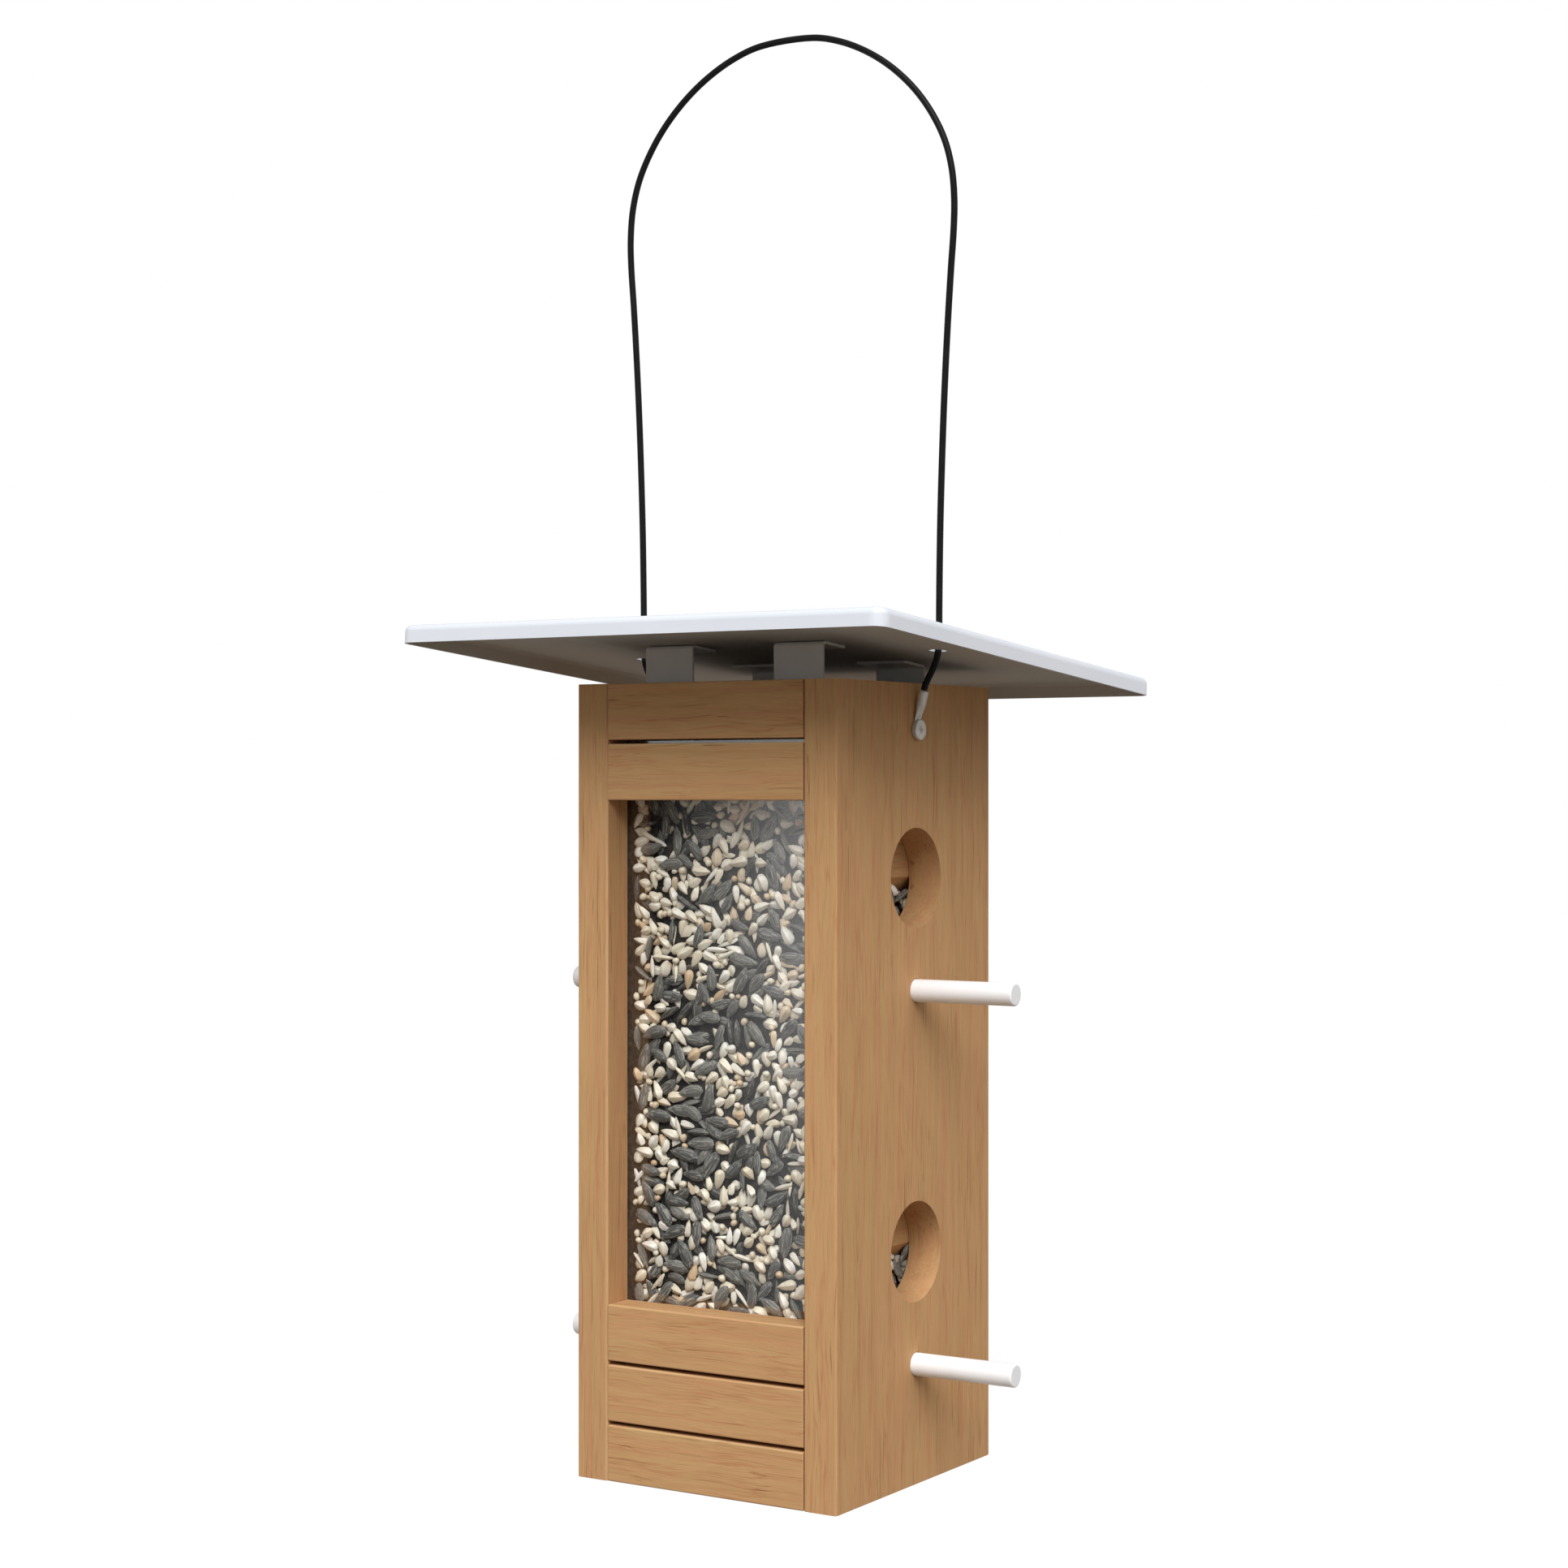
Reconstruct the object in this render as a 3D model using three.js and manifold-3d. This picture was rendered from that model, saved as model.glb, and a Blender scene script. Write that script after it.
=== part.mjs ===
// Hanging hopper bird feeder: a square tower of boards with a window front and back, two feeding
// ports with perches on each side, and a pitched roof pan that slides up the hanger cable for
// filling.
//
// Millimetres, +Z up, +X to the right-hand ports, -Y to the front. The origin is the middle of the
// base, on the surface that the feeder stands on.

import * as THREE from 'three';
import { mergeVertices } from 'three/addons/utils/BufferGeometryUtils.js';
import Module from 'manifold-3d';

const wasm = await Module();
wasm.setup();

// ---------------------------------------------------------------------------------------------
// Driving dimensions
// ---------------------------------------------------------------------------------------------

const seatGap = 0.3; // between pieces that touch
const overcut = 1; // how far a cutting tool runs past the faces that it cuts

// Tower
const bodyWidth = 136;
const bodyDepth = 137;
const bodyHeight = 356;
const panelThickness = 16.4;
const panelEase = 0.8; // chamfer on the side panels' upright edges

// Slats, front and back
const slatThickness = 15.7;
const slatHeight = 25.1;
const slatSpacing = 1.8;
const slatEase = 0.5;
const baseSlatCount = 3;
const topSlatCount = 2;

// Windows
const windowThickness = 2.4;
const windowSlack = 0.4; // on each face, in the groove
const windowGrooveDepth = 4;
const windowBelowTop = 4;

// Floor of the hopper
const floorThickness = 15.8;
const floorBelowSill = 2.9;
const floorTongue = 4;
const drainRadius = 2.5;
const drainPitch = 56;

// Feeding ports and perches
const portRadius = 22.4;
const portAboveSill = 2.1; // lowest point of the lower port
const portSpacing = 166;
const perchRadius = 5.1;
const perchReach = 50;
const perchBelowPort = 50; // centre to centre
const perchSocketDepth = 10;
const perchEase = 0.5;

// Hoods over the ports, inside
const hoodThickness = 15.8;
const hoodSlope = THREE.MathUtils.degToRad(45);
const hoodUndersideLength = 28;
const hoodEndClearance = 4; // to each window

// Roof pan
const roofWidth = 248;
const roofLength = 251;
const roofPitch = THREE.MathUtils.degToRad(4.8); // falls towards the back
const roofAboveBody = 14.2; // underside of the sheet above the tower, at the middle
const roofSheet = 1.2;
const roofRimDrop = 6.9; // rim below the underside of the sheet
const roofCornerRadius = 6;
const roofEdgeRadius = 3;
const cableHoleRadius = 4;
const cableHoleReach = 11; // beyond the side of the tower

// Roof legs: bent strips that stand on the upper hoods
const legThickness = 1.2;
const legWidth = 25.4;
const legBendRadius = 1; // inside
const legFlange = 18.7;
const legFromWindow = 5;
const legFromPanel = 4.6;

// Cable lugs and their screws
const lugBelowTop = 20.7;
const lugRingRadius = 4.2;
const lugThickness = 0.8;
const lugNeckWidth = 5.2;
const lugNeckLength = 4.1; // from the ring's centre to the start of the taper
const lugTaperLength = 7.4;
const lugBarrelRadius = 2.2;
const lugBarrelLength = 6.2;
const lugMouthEase = 0.3;
const lugLean = THREE.MathUtils.degToRad(14); // away from the tower
const screwHeadRadius = 4.6;
const screwHeadHeight = 1.2;
const screwHeadEase = 0.4;
const screwShankRadius = 2;
const screwLength = 14;
const screwClearance = 0.25; // shank to lug, and shank to pilot hole
const screwRecess = { length: 3.2, width: 0.8, depth: 0.8 };

// Hanger cable
const cableRadius = 1.5;
const cableSides = 8;
const cableSteps = 80;

// The right half of the cable's route, from the lug up to the crown. Each point is given as
// [beyond the side of the tower, above the top of the tower].
const cableRoute = [
  [4.05, -3.1],
  [4.5, -1.4],
  [5.8, 1.4],
  [8, 5.2],
  [9.9, 9.2],
  [11.1, 13.6],
  [11.6, 20],
  [11.7, 32],
  [11.9, 50],
  [12.3, 72],
  [13, 95],
  [14.2, 125],
  [15.8, 155],
  [17.6, 182],
  [19, 200],
  [19.3, 213],
  [18, 227],
  [14.2, 240.5],
  [7, 254],
  [-2.2, 265.8],
  [-14, 276.6],
  [-26.5, 284.8],
  [-40, 290.9],
  [-54, 294.4],
];

// Facets
const portFacets = 72;
const perchFacets = 40;
const holeFacets = 32;
const smallFacets = 28;
const cornerFacets = 8;
const edgeFacets = 6;
const bendFacets = 4;

// ---------------------------------------------------------------------------------------------
// Derived places
// ---------------------------------------------------------------------------------------------

const sideFace = bodyWidth / 2;
const innerFace = sideFace - panelThickness;
const frontFace = bodyDepth / 2; // distance from the middle, front and back alike
const slatBack = frontFace - slatThickness;
const grooveWidth = windowThickness + 2 * windowSlack;
const windowInside = slatBack - windowSlack - windowThickness;

const slatPitch = slatHeight + slatSpacing;
const sillHeight = baseSlatCount * slatPitch - slatSpacing;
const floorTop = sillHeight - floorBelowSill;
const floorBottom = floorTop - floorThickness;

const lowerPort = sillHeight + portAboveSill + portRadius;
const portHeights = { lower: lowerPort, upper: lowerPort + portSpacing };

const hoodMitre = hoodThickness / Math.cos(hoodSlope);
const hoodStart = innerFace - seatGap;

const legOutside = windowInside - legFromWindow;
const legOuterEdge = innerFace - legFromPanel;
const legInnerEdge = legOuterEdge - legWidth;

const lugHeight = bodyHeight - lugBelowTop;
const roofHeight = bodyHeight + roofAboveBody;

const sides = { left: -1, right: 1 };
const ends = { front: -1, back: 1 };

// ---------------------------------------------------------------------------------------------
// Materials
// ---------------------------------------------------------------------------------------------

const board = { color: 0xbb8e62, roughness: 0.6, metalness: 0 };
const clear = { color: 0xf2f5f5, roughness: 0.05, metalness: 0, transparent: true, opacity: 0.3 };
const whiteRod = { color: 0xf3f3f3, roughness: 0.4, metalness: 0 };
const whiteSheet = { color: 0xeceff2, roughness: 0.3, metalness: 0.1 };
const plainSheet = { color: 0xb4b2ae, roughness: 0.4, metalness: 0.9 };
const plating = { color: 0xb0afa9, roughness: 0.45, metalness: 0.9 };
const blackCoat = { color: 0x121214, roughness: 0.3, metalness: 0 };

// ---------------------------------------------------------------------------------------------
// Solid helpers
// ---------------------------------------------------------------------------------------------

function toSolid(geometry) {
  const bare = geometry.clone();
  bare.deleteAttribute('normal');
  bare.deleteAttribute('uv');
  const merged = mergeVertices(bare, 1e-4);
  return new wasm.Manifold(
    new wasm.Mesh({
      numProp: 3,
      vertProperties: new Float32Array(merged.attributes.position.array),
      triVerts: new Uint32Array(merged.index.array),
    }),
  );
}

function toGeometry(solid) {
  const mesh = solid.getMesh();
  const geometry = new THREE.BufferGeometry();
  geometry.setAttribute('position', new THREE.BufferAttribute(mesh.vertProperties, 3));
  geometry.setIndex(new THREE.BufferAttribute(mesh.triVerts, 1));
  geometry.computeVertexNormals();
  return geometry;
}

function cut(geometry, tools) {
  let solid = toSolid(geometry);
  for (const tool of tools) solid = solid.subtract(toSolid(tool));
  return toGeometry(solid);
}

function join(geometries) {
  let solid = toSolid(geometries[0]);
  for (const geometry of geometries.slice(1)) solid = solid.add(toSolid(geometry));
  return toGeometry(solid);
}

const axes = {
  x: [new THREE.Vector3(0, 1, 0), new THREE.Vector3(0, 0, 1), new THREE.Vector3(1, 0, 0)],
  y: [new THREE.Vector3(0, 0, 1), new THREE.Vector3(1, 0, 0), new THREE.Vector3(0, 1, 0)],
  z: [new THREE.Vector3(1, 0, 0), new THREE.Vector3(0, 1, 0), new THREE.Vector3(0, 0, 1)],
};

// Extrudes an outline along an axis. The outline is drawn in the plane of the next two axes in
// order: (y, z) along x, (z, x) along y, and (x, y) along z.
function extrude(axis, outline, from, to) {
  const geometry = new THREE.ExtrudeGeometry(outline, { depth: to - from, bevelEnabled: false });
  geometry.translate(0, 0, from);
  return geometry.applyMatrix4(new THREE.Matrix4().makeBasis(...axes[axis]));
}

// Turns a profile of [radius, distance] about an axis.
function revolve(axis, profile, facets, centre = [0, 0, 0]) {
  const points = profile.map(([radius, distance]) => new THREE.Vector2(radius, distance));
  const geometry = new THREE.LatheGeometry(points, facets);
  geometry.rotateX(Math.PI / 2);
  geometry.applyMatrix4(new THREE.Matrix4().makeBasis(...axes[axis]));
  return geometry.translate(...centre);
}

function rod(axis, radius, from, to, facets, centre) {
  return revolve(axis, [[0, from], [radius, from], [radius, to], [0, to]], facets, centre);
}

function box(x, y, z) {
  const size = [x, y, z].map(([low, high]) => high - low);
  const middle = [x, y, z].map(([low, high]) => (low + high) / 2);
  return new THREE.BoxGeometry(...size).translate(...middle);
}

function outline(points) {
  return new THREE.Shape(points.map(([x, y]) => new THREE.Vector2(x, y)));
}

// A rectangle with chamfered corners.
function easedRectangle([x0, x1], [y0, y1], ease) {
  return outline([
    [x0 + ease, y0],
    [x1 - ease, y0],
    [x1, y0 + ease],
    [x1, y1 - ease],
    [x1 - ease, y1],
    [x0 + ease, y1],
    [x0, y1 - ease],
    [x0, y0 + ease],
  ]);
}

// Skins a row of rings that have equal numbers of points, and closes both ends.
function loft(rings) {
  const count = rings[0].length;
  const positions = rings.flat().flatMap((point) => point.toArray());
  const index = [];
  for (let ring = 0; ring < rings.length - 1; ring += 1) {
    for (let i = 0; i < count; i += 1) {
      const a = ring * count + i;
      const b = ring * count + ((i + 1) % count);
      index.push(a, b, b + count, a, b + count, a + count);
    }
  }
  const last = (rings.length - 1) * count;
  for (let i = 1; i < count - 1; i += 1) {
    index.push(0, i + 1, i);
    index.push(last, last + i, last + i + 1);
  }
  const geometry = new THREE.BufferGeometry();
  geometry.setAttribute('position', new THREE.Float32BufferAttribute(positions, 3));
  geometry.setIndex(index);
  geometry.computeVertexNormals();
  return geometry;
}

function piece(name, geometry, finish) {
  const mesh = new THREE.Mesh(geometry, new THREE.MeshStandardMaterial(finish));
  mesh.name = name;
  return mesh;
}

// The stretch between two distances from the middle, on one side of it.
function span(sign, inner, outer) {
  return sign > 0 ? [inner, outer] : [-outer, -inner];
}

// Places a right-hand piece on its own side.
function onSide(geometry, sign) {
  return sign > 0 ? geometry : geometry.rotateZ(Math.PI);
}

// ---------------------------------------------------------------------------------------------
// Tower
// ---------------------------------------------------------------------------------------------

// A side panel with its feeding ports, perch sockets, window grooves, floor housing and the pilot
// hole for the lug screw.
function sidePanel(sign) {
  const blank = extrude(
    'z',
    easedRectangle(span(sign, innerFace, sideFace), [-frontFace, frontFace], panelEase),
    0,
    bodyHeight,
  );
  const through = span(sign, innerFace - overcut, sideFace + overcut);
  const socket = span(sign, sideFace - perchSocketDepth, sideFace + overcut);
  const pilot = span(sign, sideFace + lugThickness - screwLength - seatGap, sideFace + overcut);
  const tools = [];
  for (const height of Object.values(portHeights)) {
    tools.push(rod('x', portRadius, ...through, portFacets, [0, 0, height]));
    const perch = [0, 0, height - perchBelowPort];
    tools.push(rod('x', perchRadius + seatGap, ...socket, perchFacets, perch));
  }
  for (const end of Object.values(ends)) {
    const groove = span(end, slatBack - grooveWidth, slatBack);
    const depth = span(sign, innerFace - overcut, innerFace + windowGrooveDepth);
    tools.push(box(depth, groove, [floorTop, bodyHeight + overcut]));
  }
  const housing = span(sign, innerFace - overcut, innerFace + floorTongue + seatGap);
  const housingDepth = [-slatBack, slatBack];
  tools.push(box(housing, housingDepth, [floorBottom - seatGap, floorTop + seatGap]));
  tools.push(rod('x', screwShankRadius + screwClearance, ...pilot, smallFacets, [0, 0, lugHeight]));
  return cut(blank, tools);
}

function slat(end, bottom) {
  const depth = span(end, slatBack, frontFace);
  const profile = easedRectangle(depth, [bottom, bottom + slatHeight], slatEase);
  return extrude('x', profile, -innerFace + seatGap, innerFace - seatGap);
}

function slats(endName, end) {
  const pieces = [];
  for (let i = 0; i < baseSlatCount; i += 1) {
    pieces.push(piece(`${endName}_base_slat_${i + 1}`, slat(end, i * slatPitch), board));
  }
  for (let i = 0; i < topSlatCount; i += 1) {
    const bottom = bodyHeight - slatHeight - i * slatPitch;
    pieces.push(piece(`${endName}_top_slat_${i + 1}`, slat(end, bottom), board));
  }
  return pieces;
}

// A window slides down its grooves and stands on the floor panel.
function windowPanel(end) {
  const reach = innerFace + windowGrooveDepth - 2 * seatGap;
  return box(
    [-reach, reach],
    span(end, windowInside, windowInside + windowThickness),
    [floorTop + seatGap, bodyHeight - windowBelowTop],
  );
}

function floorPanel() {
  const reach = innerFace + floorTongue;
  const depth = slatBack - seatGap;
  const blank = box([-reach, reach], [-depth, depth], [floorBottom, floorTop]);
  const drains = [];
  for (const x of [-drainPitch / 2, drainPitch / 2]) {
    for (const y of [-drainPitch / 2, drainPitch / 2]) {
      const through = [floorBottom - overcut, floorTop + overcut];
      drains.push(rod('z', drainRadius, ...through, smallFacets, [x, y, 0]));
    }
  }
  return cut(blank, drains);
}

// The height of a hood's top face at a distance from the middle of the tower.
function hoodTopAt(height, distance) {
  return height + hoodMitre - (hoodStart - distance) * Math.tan(hoodSlope);
}

// The mitred end covers the upper half of the port, and the lower end is cut square.
function hood(sign, height) {
  const lowerEnd = [
    hoodStart - hoodUndersideLength * Math.cos(hoodSlope),
    height - hoodUndersideLength * Math.sin(hoodSlope),
  ];
  const upperEnd = [
    lowerEnd[0] - hoodThickness * Math.sin(hoodSlope),
    lowerEnd[1] + hoodThickness * Math.cos(hoodSlope),
  ];
  const section = [[hoodStart, height + hoodMitre], upperEnd, lowerEnd, [hoodStart, height]];
  const reach = windowInside - hoodEndClearance;
  return extrude('y', outline(section.map(([x, z]) => [z, sign * x])), -reach, reach);
}

function perch(sign, height) {
  const start = sideFace - perchSocketDepth + seatGap;
  const tip = sideFace + perchReach;
  const profile = [
    [0, start],
    [perchRadius, start],
    [perchRadius, tip - perchEase],
    [perchRadius - perchEase, tip],
    [0, tip],
  ];
  return onSide(revolve('x', profile, perchFacets, [0, 0, height - perchBelowPort]), sign);
}

// ---------------------------------------------------------------------------------------------
// Roof, drawn with the underside of its sheet through the origin, before it is pitched
// ---------------------------------------------------------------------------------------------

// A rounded rectangle, set in from the roof's outer edge.
function roofRing(inset, height) {
  const radius = roofCornerRadius - inset;
  const x = roofWidth / 2 - roofCornerRadius;
  const y = roofLength / 2 - roofCornerRadius;
  const corners = [[x, y], [-x, y], [-x, -y], [x, -y]];
  return corners.flatMap(([cx, cy], quarter) => {
    const arc = [];
    for (let i = 0; i <= cornerFacets; i += 1) {
      const turn = ((quarter + i / cornerFacets) * Math.PI) / 2;
      arc.push(new THREE.Vector3(cx + radius * Math.cos(turn), cy + radius * Math.sin(turn), height));
    }
    return arc;
  });
}

// The rings of the rolled edge between the rim and the flat of the sheet.
function rolledEdge(radius, inset, height) {
  const rings = [];
  for (let i = 0; i <= edgeFacets; i += 1) {
    const turn = ((i / edgeFacets) * Math.PI) / 2;
    rings.push(roofRing(inset + radius * (1 - Math.cos(turn)), height + radius * Math.sin(turn)));
  }
  return rings;
}

// A pan of bent sheet: up the inside of the rim, under the rim, and up the outside.
function roofPan() {
  const innerRadius = roofEdgeRadius - roofSheet;
  const inside = rolledEdge(innerRadius, roofSheet, -innerRadius).reverse();
  const outside = rolledEdge(roofEdgeRadius, 0, roofSheet - roofEdgeRadius);
  const pan = loft([
    ...inside,
    roofRing(roofSheet, -roofRimDrop),
    roofRing(0, -roofRimDrop),
    ...outside,
  ]);
  const holes = Object.values(sides).map((sign) =>
    rod('z', cableHoleRadius, -overcut, roofSheet + overcut, holeFacets, [
      sign * (sideFace + cableHoleReach),
      0,
      0,
    ]),
  );
  return cut(pan, holes);
}

// ---------------------------------------------------------------------------------------------
// Roof legs, drawn in the feeder's own frame
// ---------------------------------------------------------------------------------------------

// A strip bent to the roof's pitch: the flange lies under the sheet, the leg hangs plumb into the
// hopper, and its foot is cut to the slope of the hood that it stands on.
function roofLeg(sign, end) {
  const tilt = end * roofPitch; // the flange's rise towards the middle
  const flangeTopAt = (inward) =>
    roofHeight - end * (legOutside - inward) * Math.tan(roofPitch) - seatGap / Math.cos(roofPitch);
  const outerRadius = legBendRadius + legThickness;
  const bend = [outerRadius, flangeTopAt(outerRadius) - outerRadius / Math.cos(tilt)];
  const tip = legFlange * Math.cos(tilt);
  const foot = hoodTopAt(portHeights.upper, legInnerEdge);

  const profile = new THREE.Shape();
  profile.moveTo(0, foot);
  profile.absarc(...bend, outerRadius, Math.PI, Math.PI / 2 + tilt, true);
  profile.lineTo(tip, flangeTopAt(tip));
  profile.lineTo(
    tip + legThickness * Math.sin(tilt),
    flangeTopAt(tip) - legThickness * Math.cos(tilt),
  );
  profile.absarc(...bend, legBendRadius, Math.PI / 2 + tilt, Math.PI, false);
  profile.lineTo(legThickness, foot);
  const strip = new THREE.ExtrudeGeometry(profile, {
    depth: legWidth,
    bevelEnabled: false,
    curveSegments: bendFacets,
  });

  // The profile is drawn with x inward from the leg's outer face and y up.
  const inward = new THREE.Vector3(0, -end, 0);
  const up = new THREE.Vector3(0, 0, 1);
  const width = new THREE.Vector3().crossVectors(inward, up);
  strip.applyMatrix4(new THREE.Matrix4().makeBasis(inward, up, width));
  const [low, high] = span(sign, legInnerEdge, legOuterEdge);
  strip.translate(width.x > 0 ? low : high, end * legOutside, 0);

  const clearance = seatGap / Math.cos(hoodSlope);
  const soleAt = (distance) => hoodTopAt(portHeights.upper, distance) + clearance;
  const waste = [
    [sideFace, soleAt(sideFace)],
    [0, soleAt(0)],
    [sideFace, soleAt(0)],
  ];
  const wedge = outline(waste.map(([x, z]) => [z, sign * x]));
  return cut(strip, [extrude('y', wedge, -frontFace, frontFace)]);
}

// ---------------------------------------------------------------------------------------------
// Hanger
// ---------------------------------------------------------------------------------------------

// The barrel's direction away from the ring, in the plane of the cable.
const lugUp = new THREE.Vector3(Math.sin(lugLean), 0, Math.cos(lugLean));
const lugOut = new THREE.Vector3(Math.cos(lugLean), 0, -Math.sin(lugLean));

// A ring lug for the right-hand side: a flat ring, a neck, and a barrel that leans away from the
// tower.
function cableLug() {
  const back = sideFace + seatGap;
  const hole = new THREE.Path();
  hole.absarc(0, 0, screwShankRadius + screwClearance, 0, 2 * Math.PI, true);
  const ringShape = new THREE.Shape();
  ringShape.absarc(0, 0, lugRingRadius, 0, 2 * Math.PI, false);
  ringShape.holes.push(hole);
  const ring = new THREE.ExtrudeGeometry(ringShape, {
    depth: lugThickness,
    bevelEnabled: false,
    curveSegments: smallFacets / 2,
  });
  ring.applyMatrix4(new THREE.Matrix4().makeBasis(...axes.x));
  ring.translate(back, 0, lugHeight);

  // Sections of the neck and barrel: [centre, half width, half thickness].
  const flat = lugThickness / 2;
  const neck = new THREE.Vector3(back + flat, 0, lugHeight + lugRingRadius / 2);
  const bend = new THREE.Vector3(back + flat, 0, lugHeight + lugNeckLength);
  const barrel = bend.clone().addScaledVector(lugUp, lugTaperLength);
  const lip = barrel.clone().addScaledVector(lugUp, lugBarrelLength - lugMouthEase);
  const mouth = lip.clone().addScaledVector(lugUp, lugMouthEase);
  const mouthRadius = lugBarrelRadius - lugMouthEase;
  const sections = [
    [neck, lugNeckWidth / 2, flat],
    [bend, lugNeckWidth / 2, flat],
    [barrel, lugBarrelRadius, lugBarrelRadius],
    [lip, lugBarrelRadius, lugBarrelRadius],
    [mouth, mouthRadius, mouthRadius],
  ];
  const rings = sections.map(([centre, halfWidth, halfThickness]) => {
    const out = centre === neck ? new THREE.Vector3(1, 0, 0) : lugOut;
    const points = [];
    for (let i = 0; i < smallFacets; i += 1) {
      const turn = (i / smallFacets) * 2 * Math.PI;
      points.push(
        centre
          .clone()
          .addScaledVector(out, halfThickness * Math.cos(turn))
          .add(new THREE.Vector3(0, halfWidth * Math.sin(turn), 0)),
      );
    }
    return points;
  });
  return join([ring, loft(rings)]);
}

// A flat-topped screw with a cross recess, through the lug and into the side panel.
function lugScrew() {
  const seat = sideFace + lugThickness + 2 * seatGap;
  const point = sideFace + lugThickness - screwLength;
  const top = seat + screwHeadHeight;
  const shoulder = screwHeadRadius - screwHeadEase;
  const profile = [
    [0, point],
    [screwShankRadius, point + screwShankRadius],
    [screwShankRadius, seat],
    [screwHeadRadius, seat],
  ];
  for (let i = 0; i <= bendFacets; i += 1) {
    const turn = ((i / bendFacets) * Math.PI) / 2;
    const rise = screwHeadEase * (1 - Math.sin(turn));
    profile.push([shoulder + screwHeadEase * Math.cos(turn), top - rise]);
  }
  profile.push([0, top]);
  const screw = revolve('x', profile, smallFacets, [0, 0, lugHeight]);
  const depth = [top - screwRecess.depth, top + overcut];
  const long = screwRecess.length / 2;
  const short = screwRecess.width / 2;
  const slots = [
    box(depth, [-long, long], [lugHeight - short, lugHeight + short]),
    box(depth, [-short, short], [lugHeight - long, lugHeight + long]),
  ];
  return cut(screw, slots);
}

function hangerCable() {
  const right = cableRoute.map(
    ([beyond, above]) => new THREE.Vector3(sideFace + beyond, 0, bodyHeight + above),
  );
  const left = right.map((point) => new THREE.Vector3(-point.x, 0, point.z)).reverse();
  const route = new THREE.CatmullRomCurve3([...right, ...left]);
  const section = new THREE.Shape();
  section.absarc(0, 0, cableRadius, 0, 2 * Math.PI, false);
  return new THREE.ExtrudeGeometry(section, {
    steps: cableSteps,
    extrudePath: route,
    curveSegments: cableSides / 2,
    bevelEnabled: false,
  });
}

// ---------------------------------------------------------------------------------------------
// Assembly
// ---------------------------------------------------------------------------------------------

const feeder = new THREE.Group();

for (const [sideName, sign] of Object.entries(sides)) {
  feeder.add(piece(`side_panel_${sideName}`, sidePanel(sign), board));
  for (const [level, height] of Object.entries(portHeights)) {
    feeder.add(piece(`hood_${level}_${sideName}`, hood(sign, height), board));
    feeder.add(piece(`perch_${level}_${sideName}`, perch(sign, height), whiteRod));
  }
  feeder.add(piece(`cable_lug_${sideName}`, onSide(cableLug(), sign), plating));
  feeder.add(piece(`lug_screw_${sideName}`, onSide(lugScrew(), sign), plating));
}

for (const [endName, end] of Object.entries(ends)) {
  feeder.add(...slats(endName, end));
  feeder.add(piece(`${endName}_window`, windowPanel(end), clear));
}

feeder.add(piece('floor_panel', floorPanel(), board));

const roof = new THREE.Group();
const pan = piece('roof_pan', roofPan(), whiteSheet);
pan.position.z = roofHeight;
pan.rotation.x = -roofPitch;
roof.add(pan);
for (const [endName, end] of Object.entries(ends)) {
  for (const [sideName, sign] of Object.entries(sides)) {
    roof.add(piece(`roof_leg_${endName}_${sideName}`, roofLeg(sign, end), plainSheet));
  }
}
feeder.add(roof);

feeder.add(piece('hanger_cable', hangerCable(), blackCoat));

export default feeder;
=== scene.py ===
"""A hanging hopper bird feeder: eased hardwood boards, clear windows with mixed seed behind them,
white perches, a coated pan roof on bent legs, and a black hanger cable.

Lengths are in metres, except where a name ends in _mm. Grain and seed patterns are worked out in
millimetres."""

import math
import random

import bmesh
import bpy
import numpy as np
from mathutils import Euler, Matrix, Vector, noise as lumps


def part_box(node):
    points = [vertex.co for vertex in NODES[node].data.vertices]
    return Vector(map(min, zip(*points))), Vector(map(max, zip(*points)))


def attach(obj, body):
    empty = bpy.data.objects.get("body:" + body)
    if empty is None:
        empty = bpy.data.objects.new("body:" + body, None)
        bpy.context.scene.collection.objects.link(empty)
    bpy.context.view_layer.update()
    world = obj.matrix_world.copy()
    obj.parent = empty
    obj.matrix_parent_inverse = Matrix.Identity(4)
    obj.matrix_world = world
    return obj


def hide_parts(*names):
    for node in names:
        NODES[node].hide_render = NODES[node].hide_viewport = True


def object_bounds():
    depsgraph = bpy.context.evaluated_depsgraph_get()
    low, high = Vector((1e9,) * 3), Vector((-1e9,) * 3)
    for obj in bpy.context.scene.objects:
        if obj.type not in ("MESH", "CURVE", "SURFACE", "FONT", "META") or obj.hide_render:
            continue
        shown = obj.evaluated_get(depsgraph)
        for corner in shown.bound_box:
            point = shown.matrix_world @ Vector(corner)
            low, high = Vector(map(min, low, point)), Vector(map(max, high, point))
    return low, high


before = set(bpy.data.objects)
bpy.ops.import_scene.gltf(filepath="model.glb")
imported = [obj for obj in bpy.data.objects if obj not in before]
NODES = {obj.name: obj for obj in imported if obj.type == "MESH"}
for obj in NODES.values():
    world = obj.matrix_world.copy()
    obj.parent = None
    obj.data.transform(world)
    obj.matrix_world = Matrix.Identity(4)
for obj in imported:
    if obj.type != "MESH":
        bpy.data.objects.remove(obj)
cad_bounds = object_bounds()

MM = 0.001
scene = bpy.context.scene


# ---- Camera ----------------

def make_camera():
    lens = bpy.data.cameras.new("camera")
    lens.lens = 66.4
    lens.sensor_width = 36
    lens.shift_y = 0.0056
    lens.clip_end = 50
    camera = bpy.data.objects.new("camera", lens)
    camera.location = (0.7051, -1.1181, 0.3073)
    camera.rotation_euler = (math.radians(90), 0, math.radians(32.292))
    scene.collection.objects.link(camera)
    scene.camera = camera


# ---- Node helpers ----------------

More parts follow.
